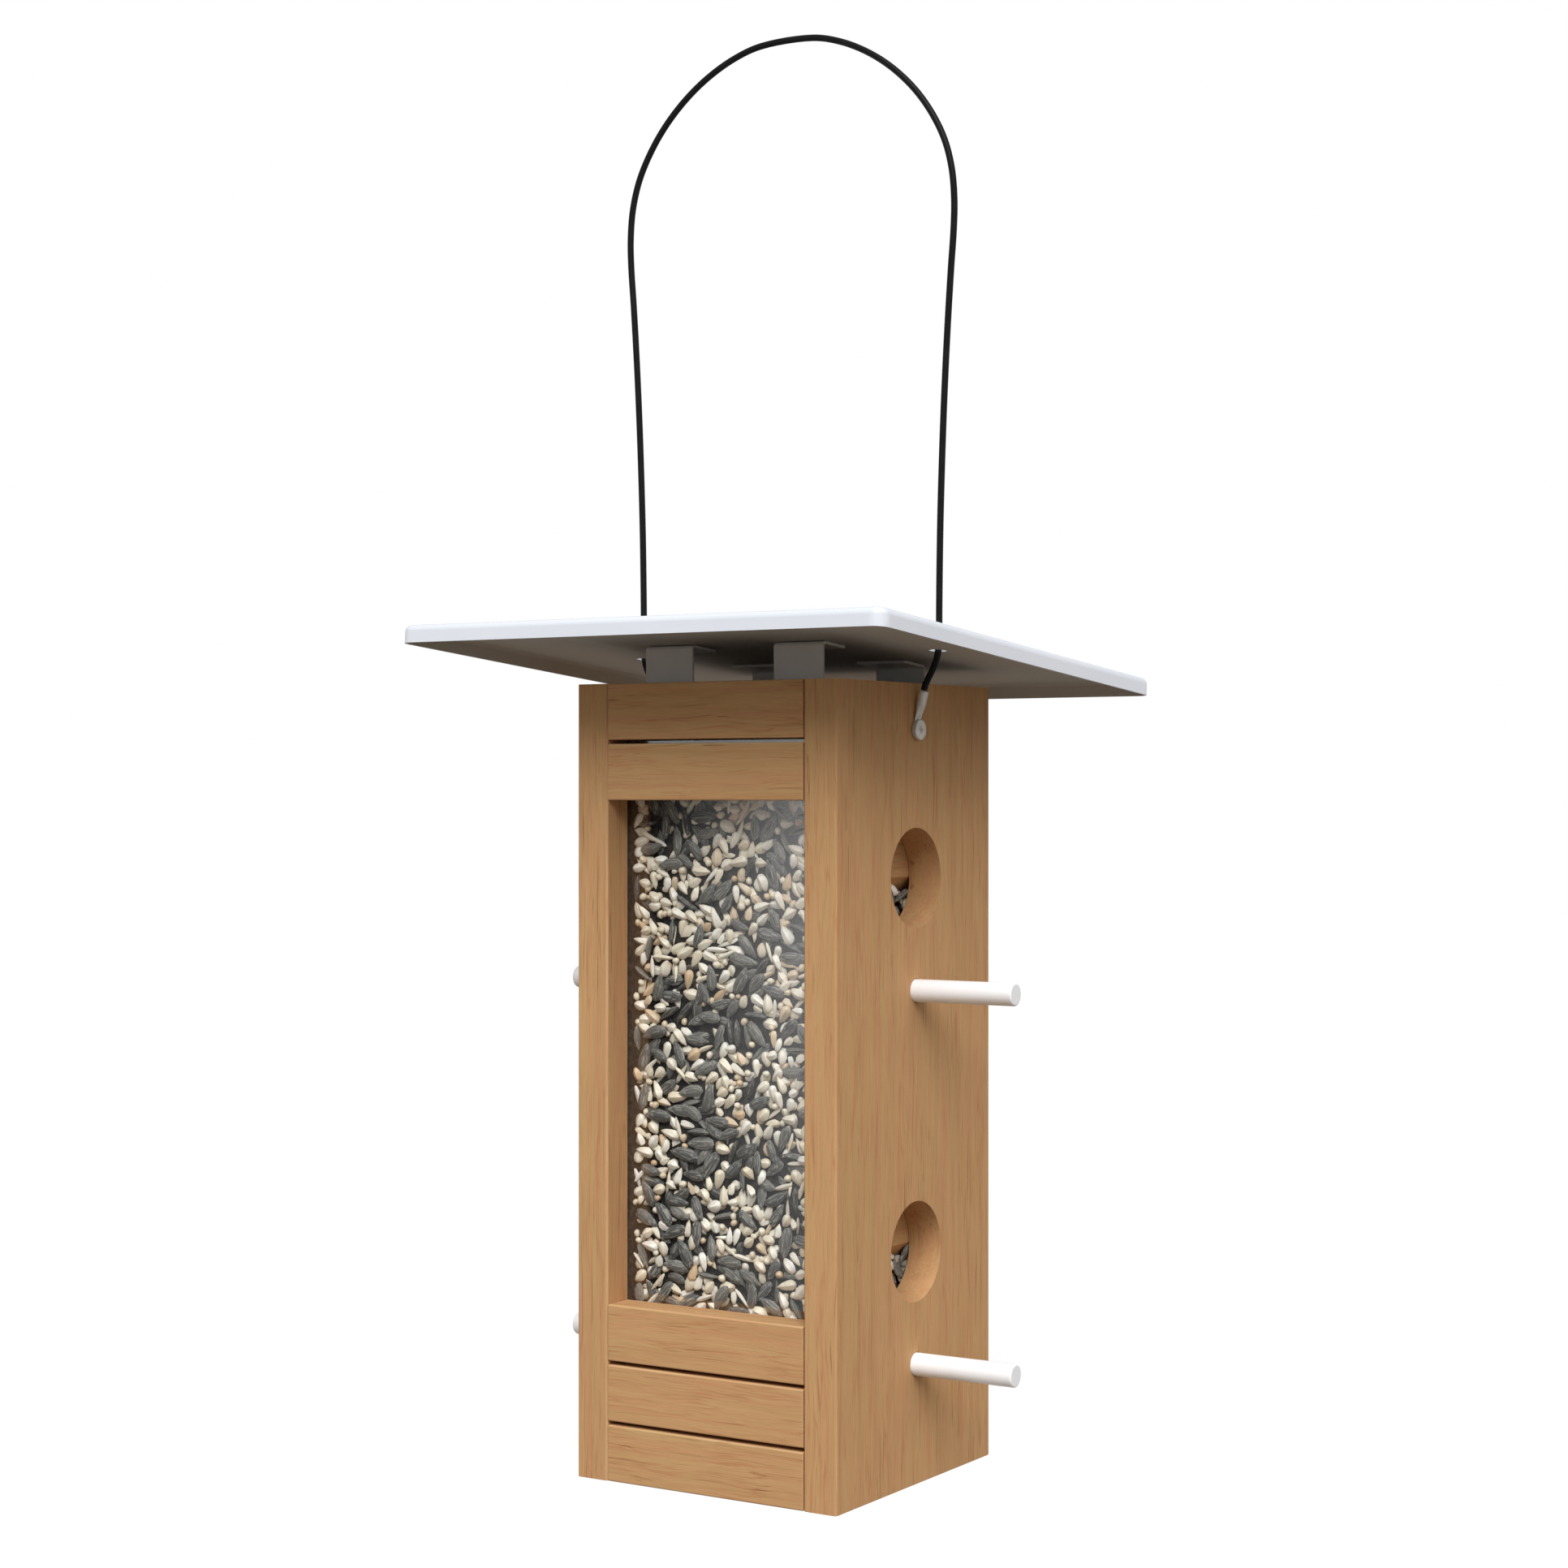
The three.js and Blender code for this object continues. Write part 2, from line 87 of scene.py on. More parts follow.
def add(tree, kind, inputs=None, **settings):
    """Adds a node, sets its properties, and fills its inputs with plain values or sockets."""
    made = tree.nodes.new(kind)
    for name, value in settings.items():
        setattr(made, name, value)
    for name, value in (inputs or {}).items():
        if isinstance(value, bpy.types.NodeSocket):
            tree.links.new(value, made.inputs[name])
        else:
            made.inputs[name].default_value = value
    return made


def math_node(tree, operation, *values, clamp=False):
    inputs = dict(enumerate(values))
    made = add(tree, "ShaderNodeMath", inputs, operation=operation, use_clamp=clamp)
    return made.outputs[0]


def vector_math(tree, operation, *values):
    made = add(tree, "ShaderNodeVectorMath", dict(enumerate(values)), operation=operation)
    return made.outputs[0]


def remap(tree, value, low, high, to_low=0.0, to_high=1.0, smooth=False):
    """Maps low..high to to_low..to_high, clamped."""
    made = add(
        tree,
        "ShaderNodeMapRange",
        {"Value": value, "From Min": low, "From Max": high, "To Min": to_low, "To Max": to_high},
        interpolation_type="SMOOTHSTEP" if smooth else "LINEAR",
    )
    return made.outputs["Result"]


def mix_value(tree, share, first, second):
    return add(tree, "ShaderNodeMix", {0: share, 2: first, 3: second}).outputs[0]


def mix_colour(tree, share, first, second):
    made = add(tree, "ShaderNodeMix", {0: share, 6: first, 7: second}, data_type="RGBA")
    return made.outputs[2]


def mix_shader(tree, share, first, second):
    inputs = {0: share, 1: first.outputs[0], 2: second.outputs[0]}
    return add(tree, "ShaderNodeMixShader", inputs)


def noise(tree, vector, size=(1, 1, 1), detail=2.0, roughness=0.5, output="Fac"):
    """Noise with features of this size along each axis."""
    vector = vector_math(tree, "DIVIDE", vector, size)
    inputs = {"Vector": vector, "Scale": 1.0, "Detail": detail, "Roughness": roughness}
    return add(tree, "ShaderNodeTexNoise", inputs).outputs[output]


def node_group(name, inputs, outputs, kind="ShaderNodeTree"):
    """A new group with named sockets. Inputs are {name: (socket type, default)}."""
    tree = bpy.data.node_groups.new(name, kind)
    for label, (socket_type, default) in inputs.items():
        socket = tree.interface.new_socket(label, in_out="INPUT", socket_type=socket_type)
        if default is not None:
            socket.default_value = default
    for label, socket_type in outputs.items():
        tree.interface.new_socket(label, in_out="OUTPUT", socket_type=socket_type)
    return tree, add(tree, "NodeGroupInput").outputs, add(tree, "NodeGroupOutput").inputs


def place_group(tree, group, **values):
    """Places a shader group. A value's name is the socket's name with _ for each space."""
    inputs = {name.replace("_", " "): value for name, value in values.items()}
    return add(tree, "ShaderNodeGroup", inputs, node_tree=group).outputs


def new_material(name):
    made = bpy.data.materials.new(name)
    made.use_nodes = True
    made.node_tree.nodes.clear()
    return made, made.node_tree


def set_surface(tree, shader, output="ShaderNodeOutputMaterial"):
    tree.links.new(shader.outputs[0], tree.nodes.new(output).inputs["Surface"])


def finish_material(tree, **values):
    """A Principled surface. A value's name is the socket's name with _ for each space."""
    inputs = {name.replace("_", " "): value for name, value in values.items()}
    set_surface(tree, add(tree, "ShaderNodeBsdfPrincipled", inputs))


def object_mm(tree):
    """Object coordinates in millimetres."""
    place = tree.nodes.new("ShaderNodeTexCoord").outputs["Object"]
    return vector_math(tree, "DIVIDE", place, (MM, MM, MM))


def attribute(tree, name, output="Vector"):
    return add(tree, "ShaderNodeAttribute", attribute_name=name).outputs[output]


def separate(tree, vector):
    return add(tree, "ShaderNodeSeparateXYZ", {0: vector}).outputs


def bump(tree, height, distance_mm, strength=1.0):
    values = {"Height": height, "Distance": distance_mm * MM, "Strength": strength}
    return add(tree, "ShaderNodeBump", values).outputs["Normal"]


def srgb(red, green, blue):
    """A colour of 0 to 255 as Blender's linear colour."""
    def linear(value):
        share = value / 255
        return share / 12.92 if share <= 0.04045 else ((share + 0.055) / 1.055) ** 2.4
    return (linear(red), linear(green), linear(blue), 1.0)


# ---- Shared effects ----------------

def make_wood_grain():
    """Straight-grained hardwood. Place is in millimetres with the grain along z."""
    tree, given, out = node_group(
        "wood_grain",
        {
            "Place": ("NodeSocketVector", None),
            "Tan": ("NodeSocketColor", srgb(203, 165, 116)),
            "Red": ("NodeSocketColor", srgb(205, 156, 113)),
            "Vein": ("NodeSocketColor", srgb(166, 94, 60)),
            "Dark": ("NodeSocketColor", srgb(122, 74, 42)),
            "Streak Depth": ("NodeSocketFloat", 0.42),
            "Edge Wear": ("NodeSocketFloat", 0.0),
        },
        {"Color": "NodeSocketColor", "Roughness": "NodeSocketFloat", "Height": "NodeSocketFloat"},
    )
    place = given["Place"]

    # The grain wavers a little to either side along its length.
    waver = noise(tree, place, (14, 14, 42), detail=1.0, output="Color")
    waver = vector_math(tree, "SUBTRACT", waver, (0.5, 0.5, 0.5))
    waver = vector_math(tree, "MULTIPLY", waver, (4.0, 4.0, 0.0))
    grain = vector_math(tree, "ADD", place, waver)

    # Growth rings 7 mm apart, round a pith well outside the board.
    ring_gap, pith = 7.0, (-130, 90, 0)
    flat = vector_math(tree, "MULTIPLY", grain, (1, 1, 0))
    from_pith = vector_math(tree, "SUBTRACT", flat, pith)
    radius = add(tree, "ShaderNodeVectorMath", {0: from_pith}, operation="LENGTH").outputs["Value"]
    drift = noise(tree, place, (25, 25, 200))
    turns = math_node(tree, "DIVIDE", radius, ring_gap)
    turns = math_node(tree, "MULTIPLY_ADD", drift, 5.0, turns)
    ring = remap(tree, math_node(tree, "PINGPONG", turns, 1.0), 0.55, 0.95, smooth=True)

    # Bands of warmer wood, fine fibres, thin dark streaks that come and go, and short open pores.
    band = noise(tree, grain, (3.0, 3.0, 150), detail=3.0, roughness=0.65)
    fibre = noise(tree, grain, (0.45, 0.45, 34), detail=3.0, roughness=0.65)
    streak = noise(tree, grain, (0.9, 0.9, 90), detail=1.0)
    patch = noise(tree, place, (11, 11, 50), detail=1.0)
    streak = remap(tree, streak, 0.62, 0.72)
    streak = math_node(tree, "MULTIPLY", streak, remap(tree, patch, 0.40, 0.60))
    pore = remap(tree, noise(tree, grain, (0.4, 0.4, 9), detail=1.0), 0.62, 0.76)

    # Veins are thin wandering lines, where a slow pattern crosses its middle level.
    slow = noise(tree, grain, (2.4, 2.4, 80))
    off_level = math_node(tree, "ABSOLUTE", math_node(tree, "SUBTRACT", slow, 0.5))
    stretch = noise(tree, place, (6, 6, 36), detail=1.0)
    vein = math_node(
        tree,
        "MULTIPLY",
        remap(tree, off_level, 0.0, 0.05, 1.0, 0.0),
        remap(tree, stretch, 0.42, 0.62),
    )

    # Tone is how far these darken the wood. Veins and a painted highlight along the edges change
    # its colour instead.
    tone = math_node(tree, "MULTIPLY", remap(tree, fibre, 0.25, 0.75), 0.24)
    tone = math_node(tree, "MULTIPLY_ADD", ring, 0.05, tone)
    tone = math_node(tree, "MULTIPLY_ADD", remap(tree, patch, 0.3, 0.7), 0.04, tone)
    tone = math_node(tree, "MULTIPLY_ADD", streak, given["Streak Depth"], tone)
    tone = math_node(tree, "MULTIPLY_ADD", pore, 0.10, tone, clamp=True)
    colour = mix_colour(tree, remap(tree, band, 0.34, 0.66), given["Tan"], given["Red"])
    colour = mix_colour(tree, math_node(tree, "MULTIPLY", vein, 0.34), colour, given["Vein"])
    colour = mix_colour(tree, tone, colour, given["Dark"])
    # Painted highlight: the middle of each rounded edge is lightened towards a pale tan, more in
    # some patches than others.
    highlighted = mix_colour(tree, 0.26, colour, srgb(232, 204, 160))
    highlight_share = remap(tree, patch, 0.35, 0.6, 0.35, 1.0)
    highlight_share = math_node(tree, "MULTIPLY", given["Edge Wear"], highlight_share)
    colour = mix_colour(tree, highlight_share, colour, highlighted)

    height = math_node(tree, "MULTIPLY", fibre, 0.4)
    height = math_node(tree, "MULTIPLY_ADD", pore, -0.6, height)
    tree.links.new(colour, out["Color"])
    tree.links.new(remap(tree, tone, 0.0, 0.6, 0.58, 0.72), out["Roughness"])
    tree.links.new(height, out["Height"])
    return tree


def make_fine_mottle():
    """Faint cloudiness and fine pitting, for paint, plated metal and plastic."""
    tree, given, out = node_group(
        "fine_mottle",
        {
            "Place": ("NodeSocketVector", None),
            "Size": ("NodeSocketFloat", 12.0),
            "Grit Size": ("NodeSocketFloat", 0.6),
            "Color": ("NodeSocketColor", (0.8, 0.8, 0.8, 1)),
            "Stain": ("NodeSocketColor", (0.7, 0.7, 0.7, 1)),
            "Roughness": ("NodeSocketFloat", 0.4),
            "Variation": ("NodeSocketFloat", 0.1),
        },
        {"Color": "NodeSocketColor", "Roughness": "NodeSocketFloat", "Height": "NodeSocketFloat"},
    )
    cloud = noise(tree, given["Place"], given["Size"], detail=3.0)
    grit = noise(tree, given["Place"], given["Grit Size"], detail=1.0)
    share = remap(tree, cloud, 0.35, 0.75)
    tree.links.new(mix_colour(tree, share, given["Color"], given["Stain"]), out["Color"])
    swing = math_node(tree, "SUBTRACT", cloud, 0.5)
    swing = math_node(tree, "MULTIPLY", swing, given["Variation"])
    tree.links.new(math_node(tree, "ADD", given["Roughness"], swing), out["Roughness"])
    tree.links.new(grit, out["Height"])
    return tree


# ---- Materials ----------------

def make_wood(wood_grain):
    made, tree = new_material("oiled_hardwood")
    grain = place_group(
        tree,
        wood_grain,
        Place=attribute(tree, "grain_mm"),
        # The painted highlight along the middle of each rounded edge.
        Edge_Wear=attribute(tree, "edge_wear", "Fac"),
    )
    finish_material(
        tree,
        Base_Color=grain["Color"],
        Roughness=grain["Roughness"],
        Normal=bump(tree, grain["Height"], distance_mm=0.06, strength=0.7),
        Specular_IOR_Level=0.06,
    )
    return made


def make_coated(name, mottle, colour, stain, roughness, cloud_mm, grit_mm, relief_mm, **values):
    """Paint, plating or plastic: one colour with faint clouds and a fine surface texture."""
    made, tree = new_material(name)
    coat = place_group(
        tree,
        mottle,
        Place=object_mm(tree),
        Size=cloud_mm,
        Grit_Size=grit_mm,
        Color=colour,
        Stain=stain,
        Roughness=roughness,
    )
    finish_material(
        tree,
        Base_Color=coat["Color"],
        Roughness=coat["Roughness"],
        Normal=bump(tree, coat["Height"], relief_mm),
        **values,
    )
    return made


def make_clear_sheet():
    """Acrylic that lets lamps and bounced light through, so that what is behind it is lit."""
    made, tree = new_material("clear_acrylic")
    sheen = noise(tree, object_mm(tree), (40, 40, 60))
    sheet = add(
        tree,
        "ShaderNodeBsdfPrincipled",
        {
            "Base Color": (0.985, 0.99, 0.99, 1),
            "Roughness": remap(tree, sheen, 0.3, 0.7, 0.02, 0.05),
            "IOR": 1.58,
            "Transmission Weight": 1.0,
            "Specular IOR Level": 0.68,
            "Coat Weight": 1.0,
        },
    )
    rays = tree.nodes.new("ShaderNodeLightPath").outputs
    open_to = math_node(tree, "MAXIMUM", rays["Is Shadow Ray"], rays["Is Diffuse Ray"])
    passing = add(tree, "ShaderNodeBsdfTransparent", {"Color": (0.98, 0.98, 0.98, 1)})
    set_surface(tree, mix_shader(tree, open_to, sheet, passing))
    return made


def make_pale_seed():
    """Safflower: a smooth cream husk, tan at the pointed end, some of them peach all over. Towards
    the bottom of the hopper they are darkened by a painted shade."""
    made, tree = new_material("pale_seed_husk")
    tone = attribute(tree, "seed_tone", "Fac")
    along = separate(tree, attribute(tree, "seed_place"))["X"]
    husk = mix_colour(tree, remap(tree, tone, 0.0, 0.75), srgb(251, 249, 239), srgb(245, 236, 213))
    husk = mix_colour(tree, remap(tree, tone, 0.86, 1.0), husk, srgb(224, 194, 156))
    tip = remap(tree, along, 0.18, 0.50, smooth=True)
    husk = mix_colour(tree, math_node(tree, "MULTIPLY", tip, 0.5), husk, srgb(198, 156, 112))
    place = object_mm(tree)
    blotch = noise(tree, place, (1.6, 1.6, 1.6))
    husk = mix_colour(tree, remap(tree, blotch, 0.52, 0.8, 0.0, 0.4), husk, srgb(206, 188, 158))
    # Painted shade: the husks grow darker towards the bottom of the hopper, which evens out the
    # shade that falls on the seed at the top.
    bottom_shade = remap(tree, separate(tree, place)["Z"], 300, 90, 0.0, 0.12)
    husk = mix_colour(tree, bottom_shade, husk, srgb(120, 112, 98))
    finish_material(tree, Base_Color=husk, Roughness=0.38, Normal=bump(tree, blotch, 0.12))
    return made


def make_dark_seed():
    """Sunflower: a matt charcoal husk with paler stripes along it."""
    made, tree = new_material("striped_seed_husk")
    tone = attribute(tree, "seed_tone", "Fac")

    # The stripes run along the seed, and are moved along by its tone so that no two are alike.
    stripes = vector_math(tree, "MULTIPLY", attribute(tree, "seed_place"), (1.0, 10.0, 10.0))
    shift = add(tree, "ShaderNodeCombineXYZ", {0: math_node(tree, "MULTIPLY", tone, 40.0)})
    stripe = noise(tree, vector_math(tree, "ADD", stripes, shift.outputs[0]))
    husk = mix_colour(tree, tone, srgb(70, 71, 70), srgb(112, 111, 105))
    husk = mix_colour(tree, remap(tree, stripe, 0.52, 0.60, 0.0, 0.8), husk, srgb(168, 166, 156))
    grit = noise(tree, object_mm(tree), (0.5, 0.5, 0.5), detail=1.0)
    husk = mix_colour(tree, remap(tree, grit, 0.5, 0.75, 0.0, 0.4), husk, srgb(44, 43, 43))
    finish_material(
        tree,
        Base_Color=husk,
        Roughness=remap(tree, stripe, 0.4, 0.7, 0.5, 0.7),
        Normal=bump(tree, stripe, 0.25),
    )
    return made


def make_seed_bed():
    """The seed further in: a rough surface painted dark as the shade between the seeds, seen only
    between them.
    """
    made, tree = new_material("deep_seed")
    grain = noise(tree, object_mm(tree), (3.0, 3.0, 3.0), detail=3.0)
    # Painted shade: near-black greys and browns.
    colour = mix_colour(tree, remap(tree, grain, 0.4, 0.7), srgb(18, 17, 16), srgb(62, 57, 50))
    finish_material(tree, Base_Color=colour, Roughness=0.9, Normal=bump(tree, grain, 1.5))
    return made


def make_materials():
    mottle = make_fine_mottle()
    return {
        "wood": make_wood(make_wood_grain()),
        "perch": make_coated(
            "perch_paint", mottle, srgb(249, 250, 252), srgb(244, 245, 248),
            roughness=0.35, cloud_mm=9, grit_mm=0.5, relief_mm=0.01,
        ),
        "roof": make_coated(
            "roof_coat", mottle, srgb(223, 227, 235), srgb(219, 224, 233),
            roughness=0.19, cloud_mm=60, grit_mm=1.2, relief_mm=0.012,
        ),
        "underside": make_coated(
            "roof_underside", mottle, srgb(192, 191, 189), srgb(186, 185, 183),
            roughness=0.6, cloud_mm=50, grit_mm=1.2, relief_mm=0.006, Specular_IOR_Level=0.04,
        ),
        "leg": make_coated(
            "bent_strip", mottle, srgb(230, 231, 231), srgb(224, 225, 226),
            roughness=0.5, cloud_mm=14, grit_mm=0.4, relief_mm=0.01, Specular_IOR_Level=0.1,
        ),
        "fitting": make_coated(
            "plated_fitting", mottle, srgb(221, 219, 213), srgb(199, 197, 191),
            roughness=0.42, cloud_mm=3, grit_mm=0.25, relief_mm=0.02, Metallic=0.2,
        ),
        "cable": make_coated(
            "cable_coat", mottle, srgb(12, 12, 13), srgb(21, 21, 22),
            roughness=0.42, cloud_mm=8, grit_mm=0.7, relief_mm=0.02, Specular_IOR_Level=0.12,
        ),
        "window": make_clear_sheet(),
        "pale_seed": make_pale_seed(),
        "dark_seed": make_dark_seed(),
        "seed_bed": make_seed_bed(),
    }


# ---- Rigid pieces, in their CAD nodes' exact shapes ----------------

BOARD_GRAIN = {"side_panel": "Z", "hood": "Y"}
BOARD_EDGE_MM = 0.7

# The roof's pitch, the underside of its sheet over the middle of the tower, and its rim's drop.
ROOF_PITCH = math.radians(4.8)
ROOF_MIDDLE = Vector((0, 0, 370.2 * MM))
ROOF_RIM = 6.8 * MM


def link(obj):
    scene.collection.objects.link(obj)
    return obj


def baked(obj, name):
    """The object with its modifiers applied, as a plain mesh of its own at the origin."""
    bpy.context.view_layer.update()
    graph = bpy.context.evaluated_depsgraph_get()
    mesh = bpy.data.meshes.new_from_object(obj.evaluated_get(graph), depsgraph=graph)
    mesh.name = name
    made = link(bpy.data.objects.new(name, mesh))
    bpy.data.objects.remove(obj)
    return made


def softened(node, name, edge_mm, segments=2, least_degrees=40):
    """A copy of a CAD node's shape with its edges of least_degrees or more rounded. Its flat faces
    stay flat."""
    mesh = NODES[node].data.copy()
    mesh.materials.clear()
    work = bmesh.new()
    work.from_mesh(mesh)
    touching, flat = 0.002 * MM, math.radians(0.3)
    bmesh.ops.remove_doubles(work, verts=work.verts, dist=touching)
    bmesh.ops.dissolve_limit(work, angle_limit=flat, verts=work.verts, edges=work.edges)
    work.to_mesh(mesh)
    work.free()
    for layer in list(mesh.attributes):
        if layer.name.startswith(("custom_normal", "UVMap")):
            mesh.attributes.remove(layer)
    mesh.shade_smooth()
    copy = link(bpy.data.objects.new(name + "_rough", mesh))
    if edge_mm:
        edge = copy.modifiers.new("edge", "BEVEL")
        edge.width = edge_mm * MM
        edge.segments = segments
        edge.limit_method = "ANGLE"
        edge.angle_limit = math.radians(least_degrees)
        shading = copy.modifiers.new("shading", "WEIGHTED_NORMAL")
        shading.keep_sharp = True
    return baked(copy, name)


def carry_grain(piece, along, seed):
    """Stores each point's place in its board's own grain, in millimetres with the grain along z.
    Each board is cut from somewhere else in the wood."""
    dice = random.Random(seed)
    upright = {"X": (0, math.radians(-90), 0), "Y": (math.radians(90), 0, 0), "Z": (0, 0, 0)}
    to_grain = Matrix.Translation([dice.uniform(-400, 400) for _ in range(3)])
    to_grain @= Matrix.Rotation(dice.uniform(0, 2 * math.pi), 4, "Z")
    to_grain @= Euler(upright[along]).to_matrix().to_4x4()
    to_grain @= Matrix.Scale(1 / MM, 4)
    layer = piece.data.attributes.new("grain_mm", "FLOAT_VECTOR", "POINT")
    for point, value in zip(piece.data.vertices, layer.data):
        value.vector = to_grain @ point.co


def mark_edge_highlight(piece):
    """Marks the middle of each rounded edge, for a painted highlight: the points that touch only
    its narrow faces.
    """
    edge_width = 1.2 * BOARD_EDGE_MM * MM
    mesh = piece.data
    widest = [0.0] * len(mesh.vertices)
    for face in mesh.polygons:
        longest = max(
            (mesh.vertices[a].co - mesh.vertices[b].co).length for a, b in face.edge_keys
        )
        for corner in face.vertices:
            widest[corner] = max(widest[corner], face.area / longest)
    layer = mesh.attributes.new("edge_wear", "FLOAT", "POINT")
    for value, width in zip(layer.data, widest):
        value.value = float(width < edge_width)


def adopt(piece, node, body, material):
    """The piece stands for its CAD node, on its body, in one material."""
    piece.data.materials.append(material)
    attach(piece, body)
    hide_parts(node)


def nodes_named(*words):
    """The CAD nodes whose names hold one of the words, in order."""
    return [name for name in sorted(NODES) if any(word in name for word in words)]


def make_boards(materials):
    """Side panels have upright grain, slats and the floor run across, hoods run front to back."""
    for seed, node in enumerate(nodes_named("panel", "slat", "hood")):
        piece = softened(node, node + "_board", BOARD_EDGE_MM)
        along = next((axis for word, axis in BOARD_GRAIN.items() if word in node), "X")
        carry_grain(piece, along, seed)
        # Where the painted edge highlight goes.
        mark_edge_highlight(piece)
        adopt(piece, node, "tower", materials["wood"])


def make_windows(materials):
    for node in ("front_window", "back_window"):
        piece = softened(node, node + "_sheet", 0.3, segments=1)
        adopt(piece, node, "tower", materials["window"])


def make_perches(materials):
    for node in nodes_named("perch"):
        adopt(softened(node, node + "_rod", 0.35), node, "tower", materials["perch"])


def make_fittings(materials):
    for node in nodes_named("cable_lug", "lug_screw"):
        piece = softened(node, node + "_plated", 0.12, least_degrees=35)
        adopt(piece, node, "tower", materials["fitting"])


def split_flats(mesh, level):
    """Shades a rolled sheet smooth, but not its sharp edges and the borders of its flat faces."""
    def is_flat(face):
        return max(abs(part) for part in level @ face.normal) > 0.99995

    mesh.set_sharp_from_angle(angle=math.radians(25))
    work = bmesh.new()
    work.from_mesh(mesh)
    for edge in work.edges:
        flats = [is_flat(face) for face in edge.link_faces]
        if any(flats) and not all(flats):
            edge.smooth = False
    work.to_mesh(mesh)
    work.free()


def make_roof(materials):
    """Coated outside and a darker grey inside: the inside of the pan is what faces down or
    inwards, above the cut edge of its rim and below the top of its sheet."""
    pan = softened("roof_pan", "roof_pan_coated", 0)
    adopt(pan, "roof_pan", "roof", materials["roof"])
    pan.data.materials.append(materials["underside"])
    level = Matrix.Rotation(ROOF_PITCH, 3, "X")
    split_flats(pan.data, level)
    for face in pan.data.polygons:
        centre = level @ (face.center - ROOF_MIDDLE)
        normal = level @ face.normal
        inward = -normal.dot(Vector((centre.x, centre.y, 0)).normalized())
        if -ROOF_RIM < centre.z < 0.05 * MM and max(-normal.z, inward) > 0.1:
            face.material_index = 1
    for node in nodes_named("roof_leg"):
        piece = softened(node, node + "_strip", 0.2, least_degrees=35)
        adopt(piece, node, "roof", materials["leg"])


# ---- Hanger cable ----------------

# The right half of the cable's route, from the lug up to the crown, in millimetres:
# (beyond the side of the tower, above the top of the tower).
CABLE_ROUTE_MM = [
    (4.05, -3.1), (4.5, -1.4), (5.8, 1.4), (8, 5.2), (9.9, 9.2),
    (11.1, 13.6), (11.6, 20), (11.7, 32), (11.9, 50), (12.3, 72),
    (13, 95), (14.2, 125), (15.8, 155), (17.6, 182), (19, 200),
    (19.3, 213), (18, 227), (14.2, 240.5), (7, 254), (-2.2, 265.8),
    (-14, 276.6), (-26.5, 284.8), (-40, 290.9), (-54, 294.4),
]
CABLE_DIAMETER = 3 * MM


def smooth_route(points, steps):
    """Points along a centripetal Catmull-Rom curve through the given ones."""
    ends = [2 * points[0] - points[1], *points, 2 * points[-1] - points[-2]]
    route = [points[0]]
    for before, start, end, after in zip(ends, ends[1:], ends[2:], ends[3:]):
        t0 = 0.0
        t1 = t0 + (start - before).length ** 0.5
        t2 = t1 + (end - start).length ** 0.5
        t3 = t2 + (after - end).length ** 0.5
        for step in range(1, steps + 1):
            t = t1 + (t2 - t1) * step / steps
            a = before.lerp(start, (t - t0) / (t1 - t0))
            b = start.lerp(end, (t - t1) / (t2 - t1))
            c = end.lerp(after, (t - t2) / (t3 - t2))
            d = a.lerp(b, (t - t0) / (t2 - t0))
            e = b.lerp(c, (t - t1) / (t3 - t1))
            route.append(d.lerp(e, (t - t1) / (t2 - t1)))
    return route


def make_cable(materials):
    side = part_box("side_panel_right")[1]
    right = [Vector((side.x + x * MM, 0, side.z + z * MM)) for x, z in CABLE_ROUTE_MM]
    left = [Vector((-point.x, 0, point.z)) for point in reversed(right)]
    route = smooth_route(right + left, steps=6)
    line = bpy.data.curves.new("hanger_cable_line", "CURVE")
    line.dimensions = "3D"
    line.bevel_depth = CABLE_DIAMETER / 2
    line.bevel_resolution = 5
    line.use_fill_caps = True
    spline = line.splines.new("POLY")
    spline.points.add(len(route) - 1)
    for point, place in zip(spline.points, route):
        point.co = (*place, 1)
    spline.use_smooth = True
    cable = link(bpy.data.objects.new("coated_cable", line))
    line.materials.append(materials["cable"])
    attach(cable, "tower")
    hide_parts("hanger_cable")


# ---- Seed ----------------

# Laid seeds are a little larger than their room, so that they touch.
SEED_SCALE = 1.04

# How far the seed stays below the upper edge of the second slat, and a port's middle is above
# its perch.
SEED_BELOW_SLAT = 8 * MM
PORT_ABOVE_PERCH = 50 * MM

# Slabs of packed seed at each window, painted dark as the shade between the seeds, with strips of
# painted shade at their sides. The bed's face and back are this far in from the pane. For the face
# and the back of each strip at the sides: how far it is beyond the inner face of the side panel,
# and how far in from the pane.
SEED_BED_MM = (3.45, 3.95)
SIDE_SHADE_MM = {
    "seed_dust": ((-0.85, 0.4), (-0.05, 3.95)),
    "groove_dust": ((3.4, 0.06), (-0.6, 0.36)),
}


